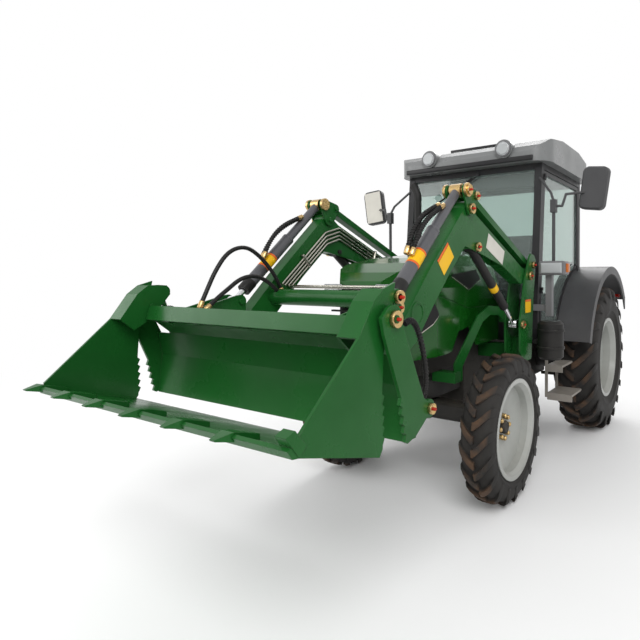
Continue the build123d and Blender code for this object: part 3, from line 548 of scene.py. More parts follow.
class Wiring:
    """Work on a node tree that groups, materials and the world share."""

    def __init__(self, tree: bpy.types.NodeTree) -> None:
        """Keep the tree."""
        self.tree = tree

    def link(self, source: bpy.types.NodeSocket, target: bpy.types.NodeSocket) -> None:
        """Join an output to an input."""
        self.tree.links.new(source, target)

    def fill(self, target: bpy.types.NodeSocket, value: object) -> None:
        """Link a socket to an input, or write a plain value there.

        Args:
            target: The input.
            value: A socket, a number or a colour.
        """
        if isinstance(value, bpy.types.NodeSocket):
            self.link(value, target)
        else:
            target.default_value = value

    def node(
        self, kind: str, inputs: dict[str | int, object] | None = None, **settings: object
    ) -> bpy.types.Node:
        """Add a shader node, set its properties and fill its inputs.

        Args:
            kind: The node's type without ShaderNode.
            inputs: Sockets or plain values by input.
            **settings: Properties by name.

        Returns:
            The new node.
        """
        made = self.tree.nodes.new(f"ShaderNode{kind}")
        for key, value in settings.items():
            setattr(made, key, value)
        for key, value in (inputs or {}).items():
            self.fill(made.inputs[key], value)
        return made

    def math(self, operation: str, first: object, second: object = 0.5) -> bpy.types.NodeSocket:
        """The result of a math node."""
        return self.node("Math", {0: first, 1: second}, operation=operation).outputs[0]

    def spread(
        self,
        value: object,
        source: tuple[object, object] = (0.0, 1.0),
        target: tuple[float, float] = (0.0, 1.0),
    ) -> bpy.types.NodeSocket:
        """Map one range onto another, and stop at its ends.

        Args:
            value: What is mapped.
            source: The range that it has.
            target: The range that it gets.

        Returns:
            The result's socket.
        """
        names = ("From Min", "From Max", "To Min", "To Max")
        ends = dict(zip(names, (*source, *target)))
        return self.node("MapRange", {"Value": value, **ends}).outputs["Result"]


class Group(Wiring):
    """A shader node group while it is being built."""

    def __init__(self, name: str, inputs: dict[str, float], outputs: dict[str, str]) -> None:
        """Start a group with its sockets.

        Args:
            name: The group's name.
            inputs: The numbers that it takes, with their defaults.
            outputs: What it puts out, Float or Vector.
        """
        super().__init__(bpy.data.node_groups.new(name, "ShaderNodeTree"))
        face = self.tree.interface
        for key, value in inputs.items():
            made = face.new_socket(key, in_out="INPUT", socket_type="NodeSocketFloat")
            made.default_value = value
        for key, kind in outputs.items():
            face.new_socket(key, in_out="OUTPUT", socket_type=f"NodeSocket{kind}")
        self.given = self.tree.nodes.new("NodeGroupInput").outputs
        self.result = self.tree.nodes.new("NodeGroupOutput").inputs
        self.place = self.node("TexCoord").outputs

    def give(self, **values: bpy.types.NodeSocket) -> bpy.types.NodeTree:
        """Put out values by socket name.

        Args:
            **values: A socket for each output.

        Returns:
            The finished group.
        """
        for key, value in values.items():
            self.link(value, self.result[key])
        return self.tree


class Effects:
    """The shader groups that several finishes share."""

    def __init__(self) -> None:
        """Build each group once."""
        self.mottle = self.build_mottle()
        self.edges = self.build_edges()
        self.dust = self.build_dust()
        self.tread = self.build_tread()

    @staticmethod
    def build_mottle() -> bpy.types.NodeTree:
        """Soft unevenness of a painted or moulded surface.

        Returns:
            A group that puts out a mask and a height.
        """
        group = Group(
            "surface_mottle", {"Coarse": 3.0, "Fine": 220.0}, {"Mask": "Float", "Height": "Float"}
        )
        place, given = group.place["Object"], group.given
        broad = group.node(
            "TexNoise",
            {"Vector": place, "Scale": given["Coarse"], "Detail": 5.0, "Roughness": 0.62},
        )
        fine = group.node("TexNoise", {"Vector": place, "Scale": given["Fine"], "Detail": 3.0})
        mask = group.spread(broad.outputs["Fac"], (0.34, 0.68))
        return group.give(Mask=mask, Height=fine.outputs["Fac"])

    @staticmethod
    def build_edges() -> bpy.types.NodeTree:
        """Edges that are rounded in shading, and a broken mask along them for scuffs and a painted
        highlight.

        Returns:
            A group that puts out the rounded normal and a mask of the edges.
        """
        group = Group(
            "edge_wear", {"Radius": 0.004, "Breakup": 18.0}, {"Mask": "Float", "Normal": "Vector"}
        )
        bevel = group.node("Bevel", {"Radius": group.given["Radius"]}, samples=4)
        rounded = bevel.outputs["Normal"]
        flat = group.node("NewGeometry").outputs["True Normal"]
        noise = group.node(
            "TexNoise",
            {"Vector": group.place["Object"], "Scale": group.given["Breakup"], "Detail": 4.0},
        )
        dot = group.node("VectorMath", {0: rounded, 1: flat}, operation="DOT_PRODUCT")
        # The mask marks the edges, broken up by noise; the paints lighten them there, partly as
        # scuffs and partly as a painted highlight.
        edge = group.spread(dot.outputs["Value"], (0.992, 0.90))
        patchy_edge = group.spread(noise.outputs["Fac"], (0.46, 0.64))
        return group.give(Mask=group.math("MULTIPLY", edge, patchy_edge), Normal=rounded)

    @staticmethod
    def build_dust() -> bpy.types.NodeTree:
        """Dust on what faces up, thicker near the ground.

        Returns:
            A group that puts out a mask.
        """
        group = Group("settled_dust", {"Low": 0.2, "High": 1.2}, {"Mask": "Float"})
        place, given = group.place, group.given
        spot = group.node("SeparateXYZ", {0: place["Object"]})
        lie = group.node("SeparateXYZ", {0: place["Normal"]})
        noise = group.node("TexNoise", {"Vector": place["Object"], "Scale": 7.0, "Detail": 6.0})
        fade = group.spread(spot.outputs["Z"], (given["High"], given["Low"]))
        up = group.spread(lie.outputs["Z"], (-0.2, 1.0), (0.25, 1.0))
        both = group.math("MULTIPLY", fade, up)
        return group.give(Mask=group.math("MULTIPLY", both, noise.outputs["Fac"]))

    @staticmethod
    def build_tread() -> bpy.types.NodeTree:
        """The outer faces of a tyre's lugs, told by their distance from the wheel's axis.

        Returns:
            A group that puts out a mask of the lugs' tops.
        """
        sizes = {"Along": 0.0, "Height": 0.5, "Radius": 0.5, "Lug": 0.03}
        group = Group("tyre_tread", sizes, {"Tops": "Float"})
        place, given = group.place["Object"], group.given
        spot = group.node("SeparateXYZ", {0: place}).outputs
        noise = group.node("TexNoise", {"Vector": place, "Scale": 9.0, "Detail": 4.0})
        along = group.math("SUBTRACT", spot["Y"], given["Along"])
        height = group.math("SUBTRACT", spot["Z"], given["Height"])
        squares = group.math(
            "ADD", group.math("MULTIPLY", along, along), group.math("MULTIPLY", height, height)
        )
        floor = group.math("SUBTRACT", given["Radius"], given["Lug"])
        top = group.spread(group.math("SQRT", squares), (floor, given["Radius"]))
        patchy = group.spread(noise.outputs["Fac"], (0.35, 0.6))
        return group.give(Tops=group.math("MULTIPLY", top, patchy))


# Finishes


class Shade(Wiring):
    """A material while it is being built round its Principled shader."""

    def __init__(self, name: str) -> None:
        """Start a material.

        Args:
            name: The material's name.
        """
        self.material = bpy.data.materials.new(name)
        self.material.use_nodes = True
        super().__init__(self.material.node_tree)
        self.shader = self.tree.nodes["Principled BSDF"]

    def group(self, tree: bpy.types.NodeTree, **values: float) -> bpy.types.NodeOutputs:
        """Place a shader group with its own values, and give its outputs."""
        return self.node("Group", values, node_tree=tree).outputs

    def put(self, values: dict[str, object]) -> bpy.types.Material:
        """Fill inputs of the shader.

        Args:
            values: Sockets or plain values by input.

        Returns:
            The material.
        """
        for key, value in values.items():
            self.fill(self.shader.inputs[key], value)
        return self.material

    def mix(self, factor: object, first: object, second: object) -> bpy.types.NodeSocket:
        """Mix two colours.

        Args:
            factor: A socket or a number.
            first: A colour or a socket.
            second: A colour or a socket.

        Returns:
            The mixed colour's socket.
        """
        made = self.node("Mix", data_type="RGBA")
        for name, value in (("Factor", factor), ("A", first), ("B", second)):
            self.fill(next(s for s in made.inputs if s.name == name and s.enabled), value)
        return next(s for s in made.outputs if s.enabled)

    def bump(
        self, height: object, strength: float, depth: float, normal: object
    ) -> bpy.types.NodeSocket:
        """Raise the surface by a height.

        Args:
            height: The height's socket.
            strength: The bump's strength.
            depth: The bump's distance in metres.
            normal: The normal that it starts from.

        Returns:
            The raised normal.
        """
        values = {"Strength": strength, "Distance": depth, "Height": height, "Normal": normal}
        return self.node("Bump", values).outputs["Normal"]


@dataclass(frozen=True)
class Paint:
    """Sprayed paint over steel, scuffed pale at its edges, where a painted highlight also lies."""

    name: str
    colour: Colour
    shade: Colour
    rough: tuple[float, float] = (0.22, 0.40)
    coat: float = 0.06
    gloss: float = 0.14
    metal: float = 0.0
    # The pale edge colour and its share: partly paint scuffed through, partly a painted highlight
    # along the edges.
    worn: Colour = (0.16, 0.15, 0.13, 1.0)
    wear: float = 0.5
    dust: float = 0.35
    coarse: float = 3.0
    fine: float = 160.0
    grain: float = 0.05
    edge: float = 0.004
    dirt: Colour = (0.20, 0.17, 0.13, 1.0)

    def build(self, effects: Effects) -> bpy.types.Material:
        """Make the material.

        Args:
            effects: The shared shader groups.

        Returns:
            The material.
        """
        shade = Shade(self.name)
        mottle = shade.group(effects.mottle, Coarse=self.coarse, Fine=self.fine)
        edges = shade.group(effects.edges, Radius=self.edge)
        dust = shade.group(effects.dust)
        base = shade.mix(mottle["Mask"], self.colour, self.shade)
        # The edges are lightened to the pale colour: partly scuffed paint, partly a painted
        # highlight.
        thin = shade.spread(edges["Mask"], target=(0.0, self.wear))
        light = shade.spread(dust["Mask"], target=(0.0, self.dust))
        rubbed_and_highlit = shade.mix(thin, base, self.worn)
        return shade.put({
            "Base Color": shade.mix(light, rubbed_and_highlit, self.dirt),
            "Roughness": shade.spread(mottle["Mask"], target=self.rough),
            "Metallic": self.metal,
            "Specular IOR Level": self.gloss,
            "Coat Weight": self.coat,
            "Coat Roughness": 0.12,
            "Normal": shade.bump(mottle["Height"], self.grain, 0.001, edges["Normal"]),
        })


@dataclass(frozen=True)
class Rubber:
    """A tyre's rubber, with brown dust on the outer faces of its lugs."""

    name: str
    along: float
    height: float
    radius: float
    lug: float
    colour: Colour = (0.017, 0.016, 0.015, 1.0)
    pale: Colour = (0.032, 0.030, 0.028, 1.0)
    dirt: Colour = (0.085, 0.050, 0.030, 1.0)

    def build(self, effects: Effects) -> bpy.types.Material:
        """Make the material.

        Args:
            effects: The shared shader groups.

        Returns:
            The material.
        """
        shade = Shade(self.name)
        mottle = shade.group(effects.mottle, Coarse=5.0, Fine=260.0)
        edges = shade.group(effects.edges, Radius=0.005)
        tread = shade.group(
            effects.tread, Along=self.along, Height=self.height, Radius=self.radius, Lug=self.lug
        )
        base = shade.mix(mottle["Mask"], self.colour, self.pale)
        return shade.put({
            "Base Color": shade.mix(tread["Tops"], base, self.dirt),
            "Roughness": shade.spread(mottle["Mask"], target=(0.55, 0.8)),
            "Specular IOR Level": 0.18,
            "Normal": shade.bump(mottle["Height"], 0.25, 0.0015, edges["Normal"]),
        })


@dataclass(frozen=True)
class Glazing:
    """Tinted safety glass, or a clear lens."""

    name: str
    tint: Colour
    rough: float = 0.02
    weight: float = 0.9

    def build(self, effects: Effects) -> bpy.types.Material:
        """Make the material.

        Args:
            effects: The shared shader groups.

        Returns:
            The material.
        """
        shade = Shade(self.name)
        mottle = shade.group(effects.mottle, Coarse=1.2, Fine=7.0)
        darker = tuple(c * 0.96 for c in self.tint[:3]) + (1.0,)
        return shade.put({
            "Base Color": shade.mix(mottle["Mask"], self.tint, darker),
            "Roughness": shade.spread(mottle["Mask"], target=(self.rough, self.rough + 0.01)),
            "Transmission Weight": self.weight,
            "IOR": 1.45,
        })


class Finishes:
    """Every finish on the tractor, built once."""

    def __init__(self, axle: Callable[[str], tuple[float, float, float]]) -> None:
        """Build the materials.

        Args:
            axle: Gives a tyre node's station, height and radius.
        """
        effects = Effects()
        tones = (
            Paint("loader_green", (0.010, 0.094, 0.016, 1), (0.007, 0.076, 0.012, 1),
                  dust=0.08, wear=0.3),
            Paint("hood_green", (0.006, 0.082, 0.007, 1), (0.005, 0.068, 0.006, 1),
                  rough=(0.10, 0.18), coat=0.30, gloss=0.25, wear=0.1, dust=0.06),
            Paint("chassis_black", (0.012, 0.012, 0.012, 1), (0.022, 0.021, 0.020, 1),
                  rough=(0.35, 0.6), coat=0.05, dust=0.4),
            Paint("cast_black", (0.018, 0.018, 0.018, 1), (0.035, 0.033, 0.030, 1),
                  rough=(0.5, 0.75), coat=0.0, grain=0.5, fine=90.0, dust=0.7),
            Paint("cab_black", (0.018, 0.018, 0.019, 1), (0.026, 0.026, 0.027, 1),
                  rough=(0.3, 0.45), coat=0.08, wear=0.1, dust=0.15),
            Paint("cylinder_grey", (0.088, 0.088, 0.096, 1), (0.070, 0.070, 0.076, 1),
                  rough=(0.25, 0.4), coat=0.15, gloss=0.3, wear=0.3, dust=0.1),
            Paint("roof_grey", (0.185, 0.190, 0.190, 1), (0.155, 0.160, 0.160, 1),
                  rough=(0.25, 0.4), coat=0.1, gloss=0.25, wear=0.05, dust=0.1),
            Paint("rim_grey", (0.38, 0.39, 0.37, 1), (0.32, 0.33, 0.31, 1),
                  rough=(0.3, 0.45), coat=0.1, gloss=0.3, wear=0.15, dust=0.4),
            Paint("fender_black", (0.052, 0.052, 0.054, 1), (0.066, 0.066, 0.068, 1),
                  rough=(0.4, 0.55), coat=0.1, wear=0.0, grain=0.3, fine=420.0, dust=0.5),
            Paint("grille_black", (0.012, 0.012, 0.012, 1), (0.02, 0.02, 0.02, 1),
                  rough=(0.4, 0.6), coat=0.1, wear=0.0, grain=0.2),
            Paint("seat_vinyl", (0.020, 0.020, 0.022, 1), (0.030, 0.030, 0.032, 1),
                  rough=(0.45, 0.6), coat=0.05, wear=0.0, grain=0.6, fine=520.0, dust=0.1),
            Paint("rod_chrome", (0.80, 0.81, 0.82, 1), (0.72, 0.73, 0.75, 1),
                  rough=(0.06, 0.14), coat=0.0, metal=1.0, wear=0.0, dust=0.0, grain=0.0),
            Paint("pin_zinc", (0.62, 0.43, 0.18, 1), (0.48, 0.33, 0.16, 1),
                  rough=(0.2, 0.4), coat=0.0, metal=1.0, wear=0.2, dust=0.1, coarse=30.0),
            Paint("pipe_steel", (0.52, 0.50, 0.44, 1), (0.42, 0.40, 0.35, 1),
                  rough=(0.2, 0.35), coat=0.0, metal=1.0, wear=0.0, dust=0.1),
            Paint("step_alloy", (0.30, 0.28, 0.25, 1), (0.22, 0.20, 0.18, 1),
                  rough=(0.35, 0.5), wear=0.3, dust=0.4),
            Paint("hose_black", (0.012, 0.012, 0.012, 1), (0.020, 0.019, 0.018, 1),
                  rough=(0.4, 0.55), coat=0.1, wear=0.0, grain=0.6, fine=300.0, dust=0.2),
            Paint("cap_red", (0.42, 0.02, 0.012, 1), (0.30, 0.02, 0.01, 1), wear=0.0),
            Paint("plate_yellow", (0.80, 0.46, 0.01, 1), (0.74, 0.42, 0.01, 1),
                  rough=(0.3, 0.4), wear=0.0, dust=0.1),
            Paint("plate_orange", (0.72, 0.13, 0.02, 1), (0.66, 0.12, 0.02, 1),
                  rough=(0.3, 0.4), wear=0.0, dust=0.1),
            Paint("plate_white", (0.62, 0.60, 0.54, 1), (0.54, 0.52, 0.47, 1),
                  rough=(0.4, 0.5), wear=0.0, dust=0.1),
            Paint("lamp_grey", (0.16, 0.16, 0.165, 1), (0.13, 0.13, 0.135, 1),
                  rough=(0.3, 0.45), wear=0.0, dust=0.2),
            Paint("mirror_silver", (0.78, 0.80, 0.82, 1), (0.76, 0.78, 0.80, 1),
                  rough=(0.03, 0.06), coat=0.0, metal=1.0, wear=0.0, dust=0.0, grain=0.0),
        )
        self.by_name: dict[str, bpy.types.Material] = {t.name: t.build(effects) for t in tones}
        panes = (
            Glazing("window_glass", (0.60, 0.71, 0.67, 1.0)),
            Glazing("lens_clear", (0.60, 0.62, 0.63, 1.0), rough=0.12, weight=0.4),
            Glazing("lens_orange", (0.90, 0.22, 0.02, 1.0), rough=0.12, weight=0.5),
            Glazing("lens_red", (0.60, 0.02, 0.01, 1.0), rough=0.12, weight=0.4),
        )
        for pane in panes:
            self.by_name[pane.name] = pane.build(effects)
        for place, lug in (("front", 0.030), ("rear", 0.038)):
            along, height, radius = axle(f"tyre_{place}_left")
            tyre = Rubber(f"tyre_{place}", along, height, radius, lug)
            self.by_name[tyre.name] = tyre.build(effects)

    def __getitem__(self, name: str) -> bpy.types.Material:
        """The material of that name."""
        return self.by_name[name]


@dataclass
class Layout:
    """Places on the tractor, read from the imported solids."""

    axle_y: float = 0.0

    def __post_init__(self) -> None:
        """Find the front axle."""
        self.axle_y = self.wheel("tyre_front_left")[0]

    @staticmethod
    def wheel(node: str) -> tuple[float, float, float]:
        """A tyre's place and size.

        Args:
            node: The tyre's node.

        Returns:
            The station and height of its axis, and its radius.
        """
        low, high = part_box(node)
        return (low.y + high.y) / 2, (low.z + high.z) / 2, (high.y - low.y) / 2

    def at(self, x: float, y: float, z: float) -> Point:
        """A point given in millimetres from the front axle and the ground.

        Args:
            x: Across, towards the driver's left.
            y: Back from the front axle.
            z: Up from the ground.

        Returns:
            The point in metres in the frame.
        """
        return (x / 1000, self.axle_y + y / 1000, z / 1000)


@dataclass
class CarriedSolids:
    """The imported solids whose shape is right: each gets its finish."""

    coats: dict[str, tuple[str, ...]] = field(default_factory=lambda: {
        "loader_green": ("boom_arms", "cross_tube", "loader_masts", "loader_arches", "bucket",
                         "clam", "bell_cranks", "level_links", "teeth"),
        "hood_green": ("hood", "side_panels"),
        "chassis_black": ("front_frame", "front_axle", "knuckle_left", "knuckle_right",
                          "rear_axle", "side_canister", "exhaust", "drawbar",
                          "lower_links", "lift_barrels", "clam_barrels", "console"),
        "cast_black": ("engine", "gearbox"),
        "cab_black": ("cab_frame", "cab_floor", "door_left", "door_right"),
        "cylinder_grey": ("tilt_barrels",),
        "roof_grey": ("roof",),
        "step_alloy": ("steps",),
        "rim_grey": ("rim_front_left", "rim_front_right", "rim_rear_left", "rim_rear_right"),
        "fender_black": ("fenders", "mirrors", "steering_wheel"),
        "grille_black": ("nose_grille",),
        "lamp_grey": ("front_lamps",),
        "seat_vinyl": ("driver_seat",),
        "rod_chrome": ("lift_rods", "tilt_rods", "clam_rods"),
        "pin_zinc": ("tilt_pins",),
        "window_glass": ("cab_glass", "door_glass_left", "door_glass_right"),
        "lens_clear": ("roof_lamps",),
        "tyre_front": ("tyre_front_left", "tyre_front_right"),
        "tyre_rear": ("tyre_rear_left", "tyre_rear_right"),
    })

    def dress(self, nodes: dict[str, bpy.types.Object], finishes: Finishes) -> None:
        """Give each solid its material.

        Args:
            nodes: The frame's objects by node.
            finishes: The materials.
        """
        for coat, names in self.coats.items():
            for name in names:
                for slot in nodes[name].material_slots:
                    slot.material = finishes[coat]
        log.info("%d solids dressed", sum(len(names) for names in self.coats.values()))


# Pieces


@dataclass
class Trim:
    """A sub-assembly that the scene adds, with the places and materials that it draws on."""

    layout: Layout
    finishes: Finishes

    def at(self, x: float, y: float, z: float) -> Point:
        """The layout's point for a place in millimetres."""
        return self.layout.at(x, y, z)

    def mount(self, piece: bpy.types.Object, body: str, slot: str, coat: str) -> bpy.types.Object:
        """Dress a piece and make it ride with a body.

        Args:
            piece: The finished object.
            body: The frame's body that carries it.
            slot: The record's material slot.
            coat: The finish.

        Returns:
            The same object.
        """
        self.coat(piece, slot, coat)
        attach(piece, body)
        log.info("%s rides on %s", piece.name, body)
        return piece

    def coat(self, piece: bpy.types.Object, slot: str, coat: str) -> None:
        """Give a piece its finish.

        Args:
            piece: The object.
            slot: Not used.
            coat: The finish.
        """
        piece.data.materials.clear()
        piece.data.materials.append(self.finishes[coat])

    def fit_nut(self, end: Point, inner: Point, body: str, tag: str) -> None:
        """A gilded fitting on a hose's end.

        Args:
            end: The hose's end.
            inner: A point further along the hose.
            body: The body that carries the fitting.
            tag: What tells it from the others.
        """
        first = Vector(end)
        way = (first - Vector(inner)).normalized()
        front, back = first + way * 0.012, first - way * 0.03
        nut = Forge.drum(f"hose_nut_{body}_{tag}", front, back, 0.0165, 6)
        Forge.inset(nut, lambda f: abs(f.normal.dot(way)) > 0.9, 0.003, 0.003)
        Forge.soften(nut, 0.0015, 1)
        self.mount(nut, body, "rod_chrome", "pin_zinc")


@dataclass
class Tyre(Trim):
    """A tyre with a belly, beads and two rows of slanted lugs."""

    node: str
    body: str
    lugs: int
    lug_height: float
    lug_width: float
    rim_radius: float
    bead: float = 0.415
    flat: float = 0.30
    sides: int = 96

    def build(self) -> bpy.types.Object:
        """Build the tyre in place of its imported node.

        Returns:
            The tyre.
        """
        low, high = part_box(self.node)
        centre = (low + high) / 2
        width = high.x - low.x
        radius = high.z - centre.z
        carcass = self.build_carcass(centre, width, radius)
        rows = self.build_lugs(centre, width, radius)
        tyre = Forge.joined(f"dressed_{self.node}", [carcass, rows])
        Forge.outward(tyre)
        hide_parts(self.node)
        coat = "tyre_front" if "front" in self.node else "tyre_rear"
        return self.mount(tyre, self.body, "tyre_rubber", coat)

    def build_carcass(self, centre: Vector, width: float, radius: float) -> bpy.types.Object:
        """The casing: crown, shoulders, walls and beads.

        Args:
            centre: The wheel's middle.
            width: The tyre's full width.
            radius: The radius over the lugs.

        Returns:
            The casing.
        """
        crown = radius - self.lug_height
        wall = crown - self.rim_radius
        half = Vector((self.flat * width, 0, 0))
        casing = Forge.drum("casing", centre - half, centre + half, crown, self.sides)
        steps = (
            # share of the wall's height, half width as a share of the tyre's width
            (0.05, 0.385), (0.13, 0.445), (0.28, 0.484), (0.45, 0.500), (0.62, 0.492),
            (0.66, 0.503), (0.70, 0.503), (0.73, 0.478), (0.86, self.bead), (1.00, self.bead),
        )
        for way in (1, -1):
            height, reach = 0.0, self.flat
            for share, half_share in steps:
                Forge.inset(
                    casing,
                    lambda f, way=way: f.normal.x * way > 0.99
                    and (f.calc_center_median().yz - centre.yz).length < 0.002,
                    (share - height) * wall,
                    (half_share - reach) * width,
                )
                height, reach = share, half_share
        Forge.faces(
            casing,
            lambda f: abs(f.normal.x) > 0.99
            and (f.calc_center_median().yz - centre.yz).length < 0.002,
        )
        bpy.ops.mesh.bridge_edge_loops()
        bpy.ops.object.mode_set(mode="OBJECT")
        return Forge.smooth(casing, 35)

    def build_lugs(self, centre: Vector, width: float, radius: float) -> bpy.types.Object:
        """One lug is drawn out from the crown over the shoulder, then copied round both rows.

        Args:
            centre: The wheel's middle.
            width: The tyre's full width.
            radius: The radius over the lugs.

        Returns:
            Every lug.
        """
        start = centre + Vector((0.0, 0.0, radius))
        lug = Forge.block(
            "lug",
            start + Vector((-0.03 * width, -self.lug_width / 2, -self.lug_height - 0.012)),
            start + Vector((0.02 * width, self.lug_width / 2, -0.002)),
        )
        stations = (
            # share of the width, drop of the tread
            (0.02, 0.000), (0.13, 0.001), (0.25, 0.003), (0.36, 0.008), (0.44, 0.020),
            (0.485, 0.042), (0.508, 0.085),
        )
        spots = []
        for share, drop in stations:
            x = share * width
            arc = (0.72 * x + 0.75 * x * x / width) / radius
            reach = radius - drop
            spots.append(Vector((x, reach * math.sin(arc), reach * math.cos(arc))))
        for before, after in zip(spots, spots[1:]):
            tip = centre.x + before.x
            Forge.faces(lug, lambda f, tip=tip: f.calc_center_median().x > tip - 0.0005)
            bpy.ops.mesh.extrude_region_move(TRANSFORM_OT_translate={"value": after - before})
            bpy.ops.object.mode_set(mode="OBJECT")
        Forge.faces(lug, lambda f: f.calc_center_median().x > centre.x + spots[-1].x - 0.0005)
        bpy.ops.transform.resize(value=(1, 0.8, 0.45), center_override=centre + spots[-1]
                                 - Vector((0, 0, self.lug_height)))
        bpy.ops.object.mode_set(mode="OBJECT")
        Forge.soften(lug, 0.005, 2, 35)
        home = Matrix.Translation(centre)
        flip = Matrix.Diagonal((-1, 1, 1, 1))
        places = []
        for index in range(self.lugs):
            turn = Matrix.Rotation(2 * math.pi * index / self.lugs, 4, "X")
            half_turn = Matrix.Rotation(2 * math.pi * (index + 0.5) / self.lugs, 4, "X")
            places.append(home @ turn @ home.inverted())
            places.append(home @ half_turn @ flip @ home.inverted())
        return Forge.copies(lug, places, "lugs")


@dataclass
class WheelTrim(Trim):
    """Gilded wheel nuts and a dark hub cap."""

    node: str
    body: str
    face: float
    circle: float
    cap_radius: float
    count: int = 8

    def build(self) -> None:
        """Build the nuts and the cap on the wheel's open side."""
        low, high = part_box(self.node)
        centre = (low + high) / 2
        way = 1 if centre.x > 0 else -1
        out = Vector((way, 0, 0))
        spot = centre + Vector((0, 0, self.circle))
        nut = Forge.drum("nut", spot + out * self.face, spot + out * (self.face + 0.029), 0.0168, 6)
        Forge.inset(nut, Forge.facing(way), 0.006, 0.007)
        Forge.soften(nut, 0.0015, 2)
        home = Matrix.Translation(centre)
        turns = [
            home @ Matrix.Rotation(2 * math.pi * k / self.count, 4, "X") @ home.inverted()
            for k in range(self.count)
        ]
        nuts = Forge.copies(nut, turns, f"nuts_{self.body}")
        self.mount(nuts, self.body, "rod_chrome", "pin_zinc")
        cap = Forge.drum(
            f"hub_cap_{self.body}", centre + out * (self.face - 0.004),
            centre + out * (self.face + 0.026), self.cap_radius, 40,
        )
        Forge.inset(cap, Forge.facing(way), 0.010, 0.014)
        Forge.inset(
            cap,
            lambda f: f.normal.x * way > 0.9
            and (f.calc_center_median().yz - centre.yz).length < 0.002,
            0.012, -0.006,
        )
        Forge.soften(cap, 0.0025, 2)
        self.mount(cap, self.body, "black_paint", "cast_black")


@dataclass
class PinHeads(Trim):
    """Flanged heads with grease nipples on the loader's pins."""

    spots: tuple[tuple[str, float, float, float, float], ...] = (
        # body, station, height, outer face, radius
        ("boom", 588, 1519, 630, 34),
        ("level_links", 656, 1603, 630, 26),
        ("bell_cranks", -430, 1928, 628, 32),
        ("level_links", -362, 2012, 628, 26),
        ("tilt_pins", -488, 2033, 638, 30),
        ("lift_barrels", -310, 1702, 612, 30),
        ("chassis", 425, 1155, 630, 30),
        ("bucket", -1235, 1120, 628, 34),
        ("bucket", -1217, 1374, 628, 30),
        ("bucket", -1618, 1359, 886, 34),
        ("clam", -1545, 1440, 852, 28),
        ("clam_barrels", -1352, 955, 885, 24),
    )
    gap: float = 0.6
    height: float = 21
    nipple_reach: float = 29
    nipple_radius: float = 0.0075

    def build(self) -> None:
        """Build each head on both sides."""
        for index, (body, y, z, face, radius) in enumerate(self.spots):
            for side in Side:
                way = side.value
                inner = Vector(self.at(way * (face + self.gap), y, z))
                outer = Vector(self.at(way * (face + self.height), y, z))
                head = Forge.drum(f"pin_head_{index}_{side.word}", inner, outer, radius / 1000, 36)
                Forge.inset(head, Forge.facing(way), radius / 2600, -0.007)
                Forge.soften(head, 0.002, 2)
                self.mount(head, body, "rod_chrome", "pin_zinc")
                tip = Vector(self.at(way * (face + self.nipple_reach), y, z))
                foot = inner.lerp(outer, 0.5)
                nipple = Forge.drum(
                    f"nipple_{index}_{side.word}", foot, tip, self.nipple_radius, 14
                )
                Forge.inset(nipple, Forge.facing(way), 0.0035, 0.005)
                Forge.soften(nipple, 0.001, 1)
                self.mount(nipple, body, "rod_chrome", "cap_red")


@dataclass
class Plates(Trim):
    """Blank coloured plates where the real machine has its notices."""

    flat: tuple[tuple[str, str, str, Point, tuple[float, float], float], ...] = (
        # name, body, finish, place, size along and up, turn
        ("leg_plate", "boom", "plate_yellow", (610.4, -706, 1612), (158, 92), 42.5),
        ("leg_plate_edge", "boom", "plate_orange", (610.4, -744, 1653), (158, 16), 42.5),
        ("mast_plate", "chassis", "plate_yellow", (630.4, 552, 1278), (118, 84), 0.0),
        ("mast_plate_edge", "chassis", "plate_orange", (630.4, 552, 1329), (118, 16), 0.0),
        ("arm_notice", "boom", "plate_white", (610.4, -20, 1698), (290, 104), -21.9),
    )
    thickness: float = 0.0018

    def build(self) -> None:
        """Build each plate on both sides."""
        for name, body, coat, place, size, turn in self.flat:
            for side in Side:
                way = side.value
                centre = Vector(self.at(way * place[0], place[1], place[2]))
                reach = Vector((0, size[0] / 2000, size[1] / 2000))
                thick = Vector((way * self.thickness, 0, 0))
                plate = Forge.block(f"{name}_{side.word}", centre - reach, centre + reach + thick)
                Forge.tilt(plate, turn, centre)
                Forge.inset(plate, Forge.facing(way), 0.005, -0.0004)
                Forge.soften(plate, 0.0005, 1)
                self.mount(plate, body, "green_paint", coat)


